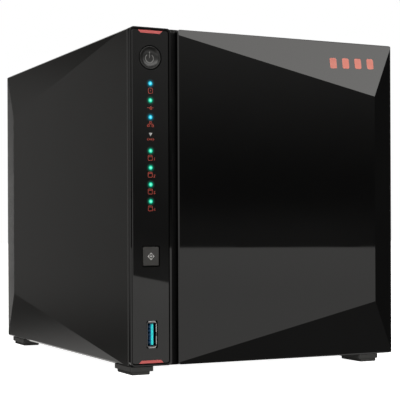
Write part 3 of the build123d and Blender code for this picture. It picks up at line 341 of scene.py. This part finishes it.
SOFT_BOXES = (
    # (azimuth, height), (half width, half height), (side edge, top edge), strength
    ((3.0, -7.0), (38.0, 6.25), (8.0, 0.08), 0.87),  # pale floor in front
    ((20.0, -22.0), (32.0, 6.0), (10.0, 2.0), 0.1),
    ((15.0, 15.0), (32.0, 2.0), (12.0, 11.0), 0.34),  # dim room in front
    ((22.0, -0.6), (5.0, 0.3), (6.0, 2.2), 0.07),
    ((14.0, 27.0), (30.0, 9.0), (10.0, 2.0), 3.2),  # high window in front
    ((-64.0, 3.0), (9.0, 16.0), (8.0, 10.0), 0.9),  # narrow window on the left
    ((-153.0, 3.0), (9.0, 5.0), (7.0, 4.0), 0.11),  # dim room beyond the left side
    ((-167.0, -15.0), (7.0, 5.0), (14.0, 4.0), 0.7),
    ((178.0, -6.0), (5.0, 6.0), (3.0, 14.0), 1.25),
    ((-80.0, 40.0), (30.0, 14.0), (14.0, 8.0), 1.0),
    ((125.0, 35.0), (35.0, 15.0), (16.0, 12.0), 1.0),
    ((180.0, 48.0), (50.0, 12.0), (20.0, 14.0), 1.2),
    ((132.0, -35.0), (38.0, 20.0), (10.0, 10.0), 0.6),  # pale floor on the right
    ((125.0, 2.0), (43.0, 9.0), (8.0, 8.0), 0.2),
    ((-130.0, 32.0), (22.0, 8.0), (8.0, 5.0), 0.8),  # window behind the left side
    ((-44.0, -35.0), (26.0, 17.0), (10.0, 8.0), 0.6),  # pale floor on the left
)


def make_world():
    """Studio surroundings: a dim room, soft windows of light, and a plain pale backdrop for the camera."""
    world = bpy.data.worlds.new("studio")
    world.use_nodes = True
    bpy.context.scene.world = world
    tree = Tree(world.node_tree)
    direction = tree.add("ShaderNodeTexCoord").outputs["Generated"]
    split = tree.add("ShaderNodeSeparateXYZ", {"Vector": direction}).outputs
    azimuth = tree.math("DEGREES", tree.math("ARCTAN2", split[0], tree.math("MULTIPLY", split[1], -1.0)))
    height = tree.math("DEGREES", tree.math("ARCSINE", split[2]))
    total = tree.smooth(height, 20.0, 80.0, 0.05, 0.5)
    for centre, half, edge, strength in SOFT_BOXES:
        box = soft_box(tree, azimuth, height, centre, half, edge, strength)
        total = tree.math("ADD", total, box)
    seen = tree.add("ShaderNodeLightPath").outputs["Is Camera Ray"]
    lit = tree.add("ShaderNodeBackground", {"Color": (1.0, 0.985, 0.96, 1.0), "Strength": total})
    plain = tree.add("ShaderNodeBackground", {"Color": (1.0, 1.0, 1.0, 1.0), "Strength": 1.0})
    mixed = tree.add("ShaderNodeMixShader", {0: seen, 1: lit.outputs[0], 2: plain.outputs[0]})
    tree.add("ShaderNodeOutputWorld", {"Surface": mixed.outputs[0]})


# ---------------------------------------------------------------- settings
def length(name, value, description):
    """A length in metres."""
    return bpy.props.FloatProperty(name=name, default=value, unit="LENGTH", description=description)


def angle(name, value, description):
    """An angle, given here in degrees."""
    return bpy.props.FloatProperty(
        name=name, default=math.radians(value), subtype="ANGLE", description=description
    )


def number(name, value, description):
    """A plain number."""
    return bpy.props.FloatProperty(name=name, default=value, description=description)


def colour(name, value, description):
    """A linear colour."""
    return bpy.props.FloatVectorProperty(
        name=name, default=value, size=3, min=0.0, max=1.0, subtype="COLOR", description=description
    )


class EnclosureStage(bpy.types.PropertyGroup):
    """The camera and the studio."""

    camera_side: length("Camera side", -0.328565, "Camera's place left of the middle")
    camera_front: length("Camera distance", 0.587231, "Camera's distance in front of the control fascia")
    camera_height: length("Camera height", 0.076971, "Camera's height above the floor")
    camera_turn: angle("Camera turn", 25.913, "How far the camera looks to the right of straight ahead")
    camera_tilt: angle("Camera tilt", 0.226, "How far the camera leans to its side")
    camera_lens: number("Lens", 106.133, "Focal length, in millimetres")
    camera_shift: number("Shift", 0.08246, "Vertical shift of the lens")
    floor_light: number("Floor light", 30.0, "Power of the lamp above, in watts")
    floor_glow: number("Floor glow", 1.0, "Light given off by the paper floor")


class EnclosureBody(bpy.types.PropertyGroup):
    """Finishes of the shell and the front."""

    cover: colour("Cover", (0.012, 0.0117, 0.0108), "Satin coat of the cover")
    gloss: colour("Gloss black", (0.0022, 0.0022, 0.0022), "Gloss moulding of the door and the fascia")
    accent: colour("Accent", (0.74, 0.14, 0.135), "Coral bars at the fascia's ends")
    print_ink: colour("Print", (0.42, 0.05, 0.028), "Ink of the printed symbols")
    mark_ink: colour("Mark", (0.78, 0.2, 0.14), "Ink of the mark on the door")


class EnclosureControls(bpy.types.PropertyGroup):
    """Sizes and colours of the buttons, the lights and the symbols."""

    symbol_line: length("Symbol line", 0.00031, "Line width of the printed symbols")
    symbol_rise: length("Symbol rise", 0.00003, "How far print stands off the face")
    icon_drop: length("Symbol drop", 0.0039, "Symbols below their lights")
    dish: length("Dish", 0.0009, "Depth of the power button's dish")
    blue: colour("Blue light", (0.008, 0.47, 0.66), "Glow of the blue lights")
    green: colour("Green light", (0.008, 0.56, 0.34), "Glow of the green lights")
    blue_power: number("Blue power", 0.92, "Strength of the blue lights")
    green_power: number("Green power", 1.0, "Strength of the green lights")
    mark_wide: length("Mark width", 0.0305, "Width of the mark on the door")
    mark_tall: length("Mark height", 0.0062, "Height of the mark on the door")
    mark_inset: length("Mark inset", 0.0292, "Middle of the mark to the door's right edge")
    mark_drop: length("Mark drop", 0.0125, "Middle of the mark below the door's top edge")


GROUPS = (EnclosureStage, EnclosureBody, EnclosureControls)


# ---------------------------------------------------------------- fixed details
FASCIA_PAINTED_LIFT = 3.4  # painted light: the fascia's copy of the door's gloss black is made this much paler, standing in for the brighter reflections it shows
FASCIA_LEAN = -0.0144  # slope of the fascia's reflections, upwards
FASCIA_TWIST = -0.18  # and how the slope changes across it, per metre
BLUE_ROWS = (0, 2)  # rows of the blue lights, counted from the top
DARK_ROW = 3  # row of the unlit white mark
# Lengths from here on are in millimetres.
LENS_RADIUS = 1.45  # where a lit lens has faded to its rim colour
HALO_START, HALO_END = 1.1, 2.6  # spilled light fades between these radii
CAP_LIP = 0.55  # width of the power button's round lip
CAP_LIP_TALL = 0.22
CAP_SIDE = 2.0  # depth of its straight side
CAP_BACK = 2.3
CAP_LINE = 0.42  # line width of its symbol
CAP_RING = 2.35  # radius of the symbol's ring
INK_THICK = 0.1  # ink, with most of it sunk into the face
MARK_BARS = 4  # one for each bay
MARK_THICK = 0.12
CONTACTS = 5
CONTACT_SPAN = 4.2  # first and last contact from the socket's middle
CONTACT_DEEP = 1.4  # contacts behind the socket's mouth
TONGUE_EDGE_DEEP = 0.9
LIP_PROUD = 0.12  # socket's folded lips in front of its mouth
PINS = 8
PIN_SPAN = 3.6
PIN_DEEP = 12.0  # pins in front of the network socket's mouth face


# ---------------------------------------------------------------- places read from the frame
def light_rows():
    """Heights of the eight rows of the column, top first, and the line they stand on."""
    low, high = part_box("lights_green")
    green_low = low.z
    blue_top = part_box("lights_blue")[1].z
    radius = (high.x - low.x) / 2
    first, last = blue_top - radius, green_low + radius
    return np.linspace(first, last, 8), (low.x + high.x) / 2


# ---------------------------------------------------------------- stage
class ENCLOSURE_OT_stage(bpy.types.Operator):
    """Floor, backdrop, soft light and camera"""

    bl_idname = "enclosure.stage"
    bl_label = "Stage"

    def execute(self, context):
        settings = context.scene.enclosure_stage
        context.scene.view_settings.view_transform = "Standard"
        make_world()
        floor_mesh = bpy.data.meshes.new("floor")
        half = 8.0
        corners = [(-half, -half, 0.0), (half, -half, 0.0), (half, half, 0.0), (-half, half, 0.0)]
        floor_mesh.from_pydata(corners, [], [(0, 1, 2, 3)])
        floor = bpy.data.objects.new("floor", floor_mesh)
        context.scene.collection.objects.link(floor)
        paper, tree, shader, place = new_material("paper")
        coloured(tree, shader, place, (0.86, 0.86, 0.86), 0.01, 300.0)
        shader.inputs["Roughness"].default_value = 0.8
        shader.inputs["Emission Color"].default_value = (1.0, 1.0, 1.0, 1.0)
        shader.inputs["Emission Strength"].default_value = settings.floor_glow
        floor_mesh.materials.append(paper)
        floor.visible_glossy = False
        floor.visible_diffuse = False
        lamp = bpy.data.lights.new("overhead", "AREA")
        lamp.energy, lamp.size = settings.floor_light, 3.0
        overhead = bpy.data.objects.new("overhead", lamp)
        overhead.location = (0.0, 0.0, 2.2)
        overhead.visible_glossy = False
        overhead.visible_camera = False
        context.scene.collection.objects.link(overhead)
        camera = bpy.data.cameras.new("camera")
        camera.lens, camera.sensor_width, camera.shift_y = settings.camera_lens, 36.0, settings.camera_shift
        camera.clip_start, camera.clip_end = 0.01, 50.0
        holder = bpy.data.objects.new("camera", camera)
        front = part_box("control_fascia")[0].y
        holder.location = (settings.camera_side, front - settings.camera_front, settings.camera_height)
        holder.rotation_euler = (math.radians(90.0), settings.camera_tilt, -settings.camera_turn)
        context.scene.collection.objects.link(holder)
        context.scene.camera = holder
        return {"FINISHED"}


# ---------------------------------------------------------------- finishes
def satin_coat(name, colour, roughness):
    """Satin coat on sheet metal: even colour, fine orange peel, and gloss with a few faint rubs."""
    material, tree, shader, place = new_material(name)
    coloured(tree, shader, place, colour, 0.05, 30.0)
    rubs = tree.add("ShaderNodeMapping", {"Vector": place, "Scale": (1.0, 1.0, 9.0)}).outputs[0]
    rub = tree.noise(rubs, 60.0, 5.0, 0.55)
    tree.put(shader.inputs["Roughness"], tree.smooth(rub, 0.3, 0.75, roughness * 0.95, roughness * 1.08))
    shader.inputs["Specular IOR Level"].default_value = 0.5
    grained(tree, shader, place, 0.5, 0.0012)
    return material


def gloss_black(name, colour, lean=0.0, twist=0.0, origin=(0.0, 0.0, 0.0), halo=None):
    """Polished black moulding: a trace of flow in its gloss, faint waviness, and a lean of the face.

    The height that leans the face is (lean + twist x) z, with x and z in metres from origin. halo, if
    given, makes the emission colour from (tree, place): a painted glow standing in for light that spills
    round the lights.
    """
    material, tree, shader, place = new_material(name)
    coloured(tree, shader, place, colour, 0.15, 20.0)
    polish = tree.noise(place, 26.0, 3.0)
    tree.put(shader.inputs["Roughness"], tree.smooth(polish, 0.3, 0.7, 0.012, 0.022))
    wave = tree.math("MULTIPLY", tree.noise(place, 30.0, 1.0), 0.000004)
    if lean or twist:
        shifted = tree.add("ShaderNodeMapping", {"Vector": place, "Location": [-v for v in origin]})
        split = tree.add("ShaderNodeSeparateXYZ", {"Vector": shifted.outputs[0]}).outputs
        slope = tree.math("ADD", tree.math("MULTIPLY", split[0], twist), lean)
        wave = tree.math("ADD", wave, tree.math("MULTIPLY", slope, split[2]))
    bump = tree.add("ShaderNodeBump", {"Height": wave, "Strength": 1.0, "Distance": 1.0})
    tree.put(shader.inputs["Normal"], bump.outputs["Normal"])
    if halo is not None:
        # painted glow: the fascia itself gives off the spilled light round the lights
        tree.put(shader.inputs["Emission Color"], halo(tree, place))
        shader.inputs["Emission Strength"].default_value = 0.16
    return material


def from_light(tree, place, rows, line):
    """Distance of a point to the nearest light's axis, and how far it is below the first light."""
    split = tree.add("ShaderNodeSeparateXYZ", {"Vector": place}).outputs
    pitch = float(rows[0] - rows[1])
    down = tree.math("SUBTRACT", float(rows[0]), split[2])
    near = tree.math("WRAP", down, pitch / 2, -pitch / 2)
    away = tree.math("SUBTRACT", split[0], float(line))
    squares = tree.math("ADD", tree.math("MULTIPLY", near, near), tree.math("MULTIPLY", away, away))
    return tree.math("SQRT", squares), down


def spilled_light(rows, line, controls):
    """Painted glow round the lights, as emission on the fascia: blue by the blue ones, green by the others,
    fading to nothing in the halo.
    """

    def make(tree, place):
        radius, down = from_light(tree, place, rows, line)
        glow = tree.smooth(radius, HALO_START * MM, HALO_END * MM, 1.0, 0.0)
        row = tree.math("ROUND", tree.math("DIVIDE", down, float(rows[0] - rows[1])))
        below_top = tree.math("GREATER_THAN", row, -0.5)
        above_end = tree.math("LESS_THAN", row, len(rows) - 0.5)
        inside = tree.math("MULTIPLY", below_top, above_end)
        dark = tree.math("COMPARE", row, float(DARK_ROW), 0.25)
        inside = tree.math("MULTIPLY", inside, tree.math("SUBTRACT", 1.0, dark))
        blue = tree.math("ADD", *[tree.math("COMPARE", row, float(n), 0.25) for n in BLUE_ROWS])
        glow = tree.math("MULTIPLY", glow, inside)
        tint = tree.add("ShaderNodeMix", {0: blue}, data_type="RGBA")
        tint.inputs[6].default_value = (*controls.green, 1.0)
        tint.inputs[7].default_value = (*controls.blue, 1.0)
        lit = tree.add("ShaderNodeMix", {0: glow}, data_type="RGBA")
        lit.inputs[6].default_value = (0.0, 0.0, 0.0, 1.0)
        tree.put(lit.inputs[7], tint.outputs[2])
        return lit.outputs[2]

    return make


def light_lens(name, glow, rows, line, strength):
    """Lit light pipe: bright in the middle and darker towards its rim, with a faint frosting."""
    material, tree, shader, place = new_material(name)
    radius, _ = from_light(tree, place, rows, line)
    frost = tree.math("MULTIPLY", tree.noise(place, 0.4, 2.0), 0.3 * MM)
    share = tree.math("DIVIDE", tree.math("ADD", radius, frost), LENS_RADIUS * MM)
    core = tuple(min(1.0, 0.16 + 0.9 * c) for c in glow)
    light = tree.ramp(share, (0.3, core), (0.6, glow), (1.0, shade(glow, 0.22)))
    tree.put(shader.inputs["Base Color"], light)
    tree.put(shader.inputs["Emission Color"], light)
    shader.inputs["Emission Strength"].default_value = strength
    shader.inputs["Roughness"].default_value = 0.3
    return material


class ENCLOSURE_OT_finishes(bpy.types.Operator):
    """Finishes of the CAD pieces"""

    bl_idname = "enclosure.finishes"
    bl_label = "Finishes"

    def execute(self, context):
        body, controls = context.scene.enclosure_body, context.scene.enclosure_controls
        rows, line = light_rows()
        bays = range(1, 5)
        finish(satin_coat("cover_coat", tuple(body.cover), 0.12), "outer_cover")
        finish(satin_coat("panel_coat", (0.018, 0.018, 0.018), 0.42), "rear_panel", "base_pan")
        frame_black = moulded("frame_moulding", (0.0015, 0.0015, 0.0015), 0.6, specular=0.15)
        finish(frame_black, "front_frame")
        finish(moulded("foot_moulding", (0.04, 0.04, 0.038), 0.4), "foot_blocks")
        finish(moulded("foot_rubber", (0.05, 0.05, 0.047), 0.75, 0.5, 0.03), "foot_pads")
        gloss = tuple(body.gloss)
        # painted light: the fascia gets a paler copy of the door's gloss black, and a painted glow round its
        # lights
        fascia = shade(gloss, FASCIA_PAINTED_LIFT)
        finish(gloss_black("door_gloss", gloss), "front_door")
        finish(gloss_black("rim_gloss", gloss), "column_rim")
        low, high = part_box("control_fascia")
        spill = spilled_light(rows, line, controls)
        origin = ((low.x + high.x) / 2, 0.0, (low.z + high.z) / 2)
        fascia_gloss = gloss_black("fascia_gloss", fascia, FASCIA_LEAN, FASCIA_TWIST, origin, spill)
        finish(fascia_gloss, "control_fascia")
        finish(moulded("accent_coral", tuple(body.accent), 0.3, 1.0, 0.001, 0.06), "accents")
        finish(moulded("button_gloss", (0.01, 0.01, 0.01), 0.18, 1.0, 0.001), "power_button")
        finish(moulded("button_matt", (0.034, 0.033, 0.031), 0.5, 0.3, 0.004), "copy_button")
        finish(moulded("socket_blue", (0.004, 0.2, 0.46), 0.35), "usb_tongues")
        # painted shade: the plated shells are made dark grey so their mouths and insides look shaded
        shells = ("front_usb_shell", "rear_usb_shells", "lan_port")
        finish(plated("socket_shell_painted_shade", (0.17, 0.17, 0.175), 0.25, 1, 2.0), *shells)
        sheets = ("cage_left", "cage_right", "cage_roof", "cage_floor", "cage_brackets", "strike_plates")
        finish(plated("zinc", (0.6, 0.61, 0.62), 0.35), *sheets)
        finish(plated("screw_plate", (0.3, 0.3, 0.3), 0.3, None, 1.5), "screws", "door_magnets")
        trays = [f"tray_{part}_{n}" for n in bays for part in ("bezel", "plate", "rails", "lever")]
        finish(moulded("tray_moulding", (0.02, 0.02, 0.02), 0.5), *trays)
        finish(moulded("latch_moulding", (0.15, 0.15, 0.15), 0.4), *[f"tray_latch_{n}" for n in bays])
        finish(moulded("solder_mask", (0.01, 0.07, 0.04), 0.3), "main_board", "front_board", "backplane")
        finish(moulded("fan_moulding", (0.015, 0.015, 0.015), 0.4), "fan_frame", "fan_rotor")
        blacks = ("dc_jack", "sata_connectors", "board_chips", "tact_switches", "reset_button")
        finish(moulded("socket_black", (0.015, 0.015, 0.015), 0.4), *blacks)
        finish(moulded("guide_moulding", (0.4, 0.4, 0.38), 0.4), "cage_guides")
        finish(plated("heatsink", (0.4, 0.4, 0.42), 0.3, 0, 3.0), "cpu_heatsink", "board_standoffs")
        blue, green = tuple(controls.blue), tuple(controls.green)
        finish(light_lens("lens_blue", blue, rows, line, controls.blue_power), "lights_blue")
        finish(light_lens("lens_green", green, rows, line, controls.green_power), "lights_green")
        finish(moulded("lens_white", (0.55, 0.55, 0.54), 0.4), "light_mark")
        return {"FINISHED"}


# ---------------------------------------------------------------- power button
class ENCLOSURE_OT_power_cap(bpy.types.Operator):
    """Turned power button with a dished face, and its printed symbol"""

    bl_idname = "enclosure.power_cap"
    bl_label = "Power button"

    def execute(self, context):
        controls = context.scene.enclosure_controls
        low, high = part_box("power_button")
        centre = np.array([(low.x + high.x) / 2, low.y, (low.z + high.z) / 2])
        rim, dish = (high.x - low.x) / 2 / MM, controls.dish / MM
        inner = rim - CAP_LIP
        # Face: a dish as deep as dish times one minus the fourth power of r, inside a round lip.
        share = np.linspace(0, 1, 28)
        bowl = np.column_stack([inner * share, dish * (1 - share**4)])
        lip_turn = np.radians(np.linspace(0, 180, 12))
        lip_mid, lip_half = (rim + inner) / 2, (rim - inner) / 2
        lip_depth = CAP_LIP_TALL - CAP_LIP_TALL * np.sin(lip_turn)
        lip = np.column_stack([lip_mid - lip_half * np.cos(lip_turn), lip_depth])
        skirt = np.array([(rim, 0.6), (rim, CAP_SIDE), (rim - 0.2, CAP_BACK), (0.0, CAP_BACK)])
        bowl[:, 1] += CAP_LIP_TALL - bowl[-1, 1]
        profile = np.concatenate([bowl[:-1], lip, skirt])
        material = moulded("power_moulding", (0.02, 0.02, 0.0195), 0.24, 1.2, 0.0008, 0.1)
        button = add_piece("power_cap", *placed(lathe(profile), centre), material, "button_gloss")
        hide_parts("power_button")
        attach(button, "power")
        ink = moulded("symbol_grey", (0.2, 0.2, 0.195), 0.4, 0.4, 0.001, 0.1)
        ring = stroke(arc((0, -0.3), CAP_RING, 128, 412, 48), CAP_LINE, 2 * INK_THICK)
        bar = stroke([(0, -0.1), (0, 3.4)], CAP_LINE, 2 * INK_THICK)
        points, faces = joined([ring, bar])
        radius = np.hypot(points[:, 0], points[:, 2]) / inner
        points[:, 1] += CAP_LIP_TALL + dish * (1 - np.minimum(radius, 1) ** 4) - INK_THICK / 2
        symbol = add_piece("power_symbol", *placed((points, faces), centre), ink, "light_white", False)
        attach(symbol, "power")
        return {"FINISHED"}


# ---------------------------------------------------------------- printed symbols
def disk_symbol(digit):
    """A drive with its number: a rounded outline with a sill, and the digit low on its right."""
    digits = {
        1: [(-0.2, 0.5), (0.1, 0.8), (0.1, -0.8)],
        2: [(-0.4, 0.6), (0.0, 0.85), (0.4, 0.5), (-0.4, -0.8), (0.45, -0.8)],
        3: [(-0.4, 0.8), (0.4, 0.8), (0.0, 0.1), (0.42, -0.35), (0.0, -0.8), (-0.42, -0.6)],
        4: [(0.25, -0.8), (0.25, 0.8), (-0.45, -0.3), (0.55, -0.3)],
    }
    outline = rounded(2.5, 2.7, 0.5) + (-0.25, 0.1)
    number = np.array(digits[digit], float) * 0.85 + (2.15, -0.55)
    sill = np.array([(-1.3, 0.75), (0.8, 0.75)])
    return [(outline, True), (sill, False), (number, False)]


def symbols():
    """The line drawings of the eight rows, each a list of (path in millimetres, closed)."""
    power = [(rounded(2.5, 2.8, 0.7), True), (np.array([(0, 0.6), (0, -0.35)]), False)]
    plug = [
        (np.array([(-1.9, 0.1), (1.9, 0.1)]), False),
        (np.array([(-0.6, 0.1), (0.0, 0.75), (0.7, 0.75)]), False),
        (np.array([(-0.9, 0.1), (-0.3, -0.6), (0.4, -0.6)]), False),
        (rounded(0.7, 0.7, 0.3) + (0.4, -0.6), True),
    ]
    network = [
        (rounded(1.1, 0.9, 0.2) + (0, 1.1), True),
        (rounded(1.1, 0.9, 0.2) + (-1.3, -0.8), True),
        (rounded(1.1, 0.9, 0.2) + (1.3, -0.8), True),
        (np.array([(-1.3, -0.35), (-1.3, 0.15), (1.3, 0.15), (1.3, -0.35)]), False),
        (np.array([(0, 0.65), (0, 0.15)]), False),
    ]
    external = [
        (np.array([(-1.3, 0.7), (-2.0, 0.0), (-1.3, -0.7)]), False),
        (np.array([(1.3, 0.7), (2.0, 0.0), (1.3, -0.7)]), False),
        (rounded(0.6, 0.6, 0.25) + (-0.55, 0), True),
        (rounded(0.6, 0.6, 0.25) + (0.55, 0), True),
    ]
    return [power, plug, network, external] + [disk_symbol(n) for n in (1, 2, 3, 4)]


class ENCLOSURE_OT_face_symbols(bpy.types.Operator):
    """Symbols printed under the lights"""

    bl_idname = "enclosure.face_symbols"
    bl_label = "Printed symbols"

    def execute(self, context):
        body, controls = context.scene.enclosure_body, context.scene.enclosure_controls
        rows, line = light_rows()
        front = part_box("control_fascia")[0].y
        ink = moulded("symbol_ink", tuple(body.print_ink), 0.35, 0.3, 0.001, 0.1)
        width = controls.symbol_line / MM
        parts = []
        lifts = (0.0, -0.2, 0.0, 1.0, 0.0, 0.0, 0.0, 0.0)
        for row, drawing, lift in zip(rows, symbols(), lifts):
            centre = (line, front - controls.symbol_rise, row - controls.icon_drop + lift * MM)
            parts += [placed(stroke(path, width, INK_THICK, closed), centre) for path, closed in drawing]
        piece = add_piece("face_symbols", *joined(parts), ink, "accent_red", False)
        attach(piece, "base")
        return {"FINISHED"}


class ENCLOSURE_OT_copy_symbol(bpy.types.Operator):
    """Symbol on the copy button: four arrowheads about a small bar"""

    bl_idname = "enclosure.copy_symbol"
    bl_label = "Copy symbol"

    def execute(self, context):
        controls = context.scene.enclosure_controls
        low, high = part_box("copy_button")
        ink = moulded("symbol_white", (0.62, 0.62, 0.61), 0.4, 0.4, 0.001, 0.08)
        head = np.array([(-0.75, 1.05), (0.0, 1.75), (0.75, 1.05)])
        quarter = np.array([(0, -1), (1, 0)])
        heads = []
        for turns in range(4):
            heads.append(stroke(head, 0.42, INK_THICK))
            head = head @ quarter
        bar = stroke([(-0.75, 0.0), (0.75, 0.0)], 0.5, INK_THICK)
        stem = stroke([(0.0, 0.55), (0.0, -0.55)], 0.4, INK_THICK)
        centre = ((low.x + high.x) / 2, low.y - controls.symbol_rise, (low.z + high.z) / 2)
        drawing = placed(joined([*heads, bar, stem]), centre)
        piece = add_piece("copy_symbol", *drawing, ink, "light_white", False)
        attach(piece, "copy")
        return {"FINISHED"}


class ENCLOSURE_OT_door_mark(bpy.types.Operator):
    """Plain mark on the door: four upright bars, one for each bay"""

    bl_idname = "enclosure.door_mark"
    bl_label = "Door mark"

    def execute(self, context):
        body, controls = context.scene.enclosure_body, context.scene.enclosure_controls
        low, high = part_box("front_door")
        centre_x, centre_z = high.x - controls.mark_inset, high.z - controls.mark_drop
        plane = face_of("front_door", centre_x, centre_z)
        ink = moulded("mark_ink", tuple(body.mark_ink), 0.3, 0.4, 0.001, 0.06)
        wide, tall = controls.mark_wide, controls.mark_tall
        parts = []
        for n in range(MARK_BARS):
            outline = rounded(wide * 0.15, tall, tall * 0.16)
            step = n - (MARK_BARS - 1) / 2
            bar_middle = (centre_x + wide * step * 0.28, centre_z + 0.0003 * step)
            parts.append(plate(outline + bar_middle, MARK_THICK * MM))
        bars = laid_on(joined(parts), plane, controls.symbol_rise)
        piece = add_piece("door_mark", *bars, ink, "accent_red", False)
        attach(piece, "door")
        return {"FINISHED"}


# ---------------------------------------------------------------- sockets
class ENCLOSURE_OT_socket_details(bpy.types.Operator):
    """Contacts, tongue edge and lips of the front socket, and the pins inside the network socket"""

    bl_idname = "enclosure.socket_details"
    bl_label = "Socket details"

    def execute(self, context):
        gold = plated("contact_gold", (0.75, 0.55, 0.22), 0.3, 1, 1.0)
        navy = moulded("contact_navy", (0.008, 0.05, 0.13), 0.4, 0.3, 0.002, 0.1)
        # painted highlight: the tongue's edge is a lit copy of the blue tongue, a pale cyan far brighter
        # than the tongue's own blue
        glow = moulded("tongue_edge_painted_highlight", (0.03, 0.95, 1.0), 0.35, 0.3, 0.002, 0.08)
        low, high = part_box("front_usb_shell")
        centre_x, centre_z, mouth = (low.x + high.x) / 2, (low.z + high.z) / 2, low.y
        rows = np.linspace(-CONTACT_SPAN, CONTACT_SPAN, CONTACTS)
        centre = (centre_x, mouth + CONTACT_DEEP * MM, centre_z)
        contacts = [placed(plate(rounded(0.55, 1.25, 0.12) + (-1.0, row), 8.0), centre) for row in rows]
        piece = add_piece("socket_contacts", *joined(contacts), navy, "tongue_blue", False)
        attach(piece, "base")
        centre = (centre_x, mouth + TONGUE_EDGE_DEEP * MM, centre_z)
        edge = placed(plate(rounded(1.3, 11.4, 0.3) + (0.6, 0.0), 1.6), centre)
        piece = add_piece("tongue_edge_painted_highlight", *edge, glow, "tongue_blue", False)
        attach(piece, "base")
        # painted highlight: the folded lips are real edges of the shell, but their pale nickel, far brighter
        # than the shell's grey, is a painted glint
        painted_glint_nickel = plated("lip_nickel_painted_highlight", (0.62, 0.62, 0.63), 0.3, 1, 1.0)
        lips = [
            stroke([(-1.9, 7.15), (1.7, 7.15), (2.35, 6.5)], 0.36, 0.3),
            stroke([(-1.6, -7.15), (1.7, -7.15), (2.35, -6.5)], 0.36, 0.3),
            stroke([(2.62, 5.6), (2.62, 1.3)], 0.42, 0.3),
            stroke([(2.62, -1.0), (2.62, -5.2)], 0.42, 0.3),
        ]
        centre = (centre_x, mouth - LIP_PROUD * MM, centre_z)
        piece = add_piece("socket_lips", *placed(joined(lips), centre), painted_glint_nickel, "socket_steel", False)
        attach(piece, "base")
        low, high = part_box("lan_port")
        centre = ((low.x + high.x) / 2, high.y - PIN_DEEP * MM, (low.z + high.z) / 2)
        rows = np.linspace(-PIN_SPAN, PIN_SPAN, PINS)
        pins = [placed(plate(rounded(3.2, 0.5, 0.1) + (2.2, row), 9.0), centre) for row in rows]
        piece = add_piece("network_pins", *joined(pins), gold, "brass", False)
        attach(piece, "base")
        return {"FINISHED"}


OPERATORS = (
    ENCLOSURE_OT_stage,
    ENCLOSURE_OT_finishes,
    ENCLOSURE_OT_power_cap,
    ENCLOSURE_OT_face_symbols,
    ENCLOSURE_OT_copy_symbol,
    ENCLOSURE_OT_door_mark,
    ENCLOSURE_OT_socket_details,
)


class ENCLOSURE_PT_panel(bpy.types.Panel):
    """Lists the settings and the steps"""

    bl_idname = "ENCLOSURE_PT_panel"
    bl_label = "Enclosure"
    bl_space_type = "VIEW_3D"
    bl_region_type = "UI"
    bl_category = "Enclosure"

    def draw(self, context):
        for group in ("enclosure_stage", "enclosure_body", "enclosure_controls"):
            settings = getattr(context.scene, group)
            for name in settings.bl_rna.properties.keys():
                if name not in ("rna_type", "name"):
                    self.layout.prop(settings, name)
        for operator in OPERATORS:
            self.layout.operator(operator.bl_idname)


def register():
    """Adds the classes and the settings to Blender."""
    for item in (*GROUPS, *OPERATORS, ENCLOSURE_PT_panel):
        bpy.utils.register_class(item)
    bpy.types.Scene.enclosure_stage = bpy.props.PointerProperty(type=EnclosureStage)
    bpy.types.Scene.enclosure_body = bpy.props.PointerProperty(type=EnclosureBody)
    bpy.types.Scene.enclosure_controls = bpy.props.PointerProperty(type=EnclosureControls)


def unregister():
    """Takes them away again."""
    del bpy.types.Scene.enclosure_controls
    del bpy.types.Scene.enclosure_body
    del bpy.types.Scene.enclosure_stage
    for item in reversed((*GROUPS, *OPERATORS, ENCLOSURE_PT_panel)):
        bpy.utils.unregister_class(item)


def main():
    """Makes the looks, one operator after another."""
    register()
    bpy.ops.enclosure.stage()
    bpy.ops.enclosure.finishes()
    bpy.ops.enclosure.power_cap()
    bpy.ops.enclosure.face_symbols()
    bpy.ops.enclosure.copy_symbol()
    bpy.ops.enclosure.door_mark()
    bpy.ops.enclosure.socket_details()


if __name__ == "__main__":
    main()
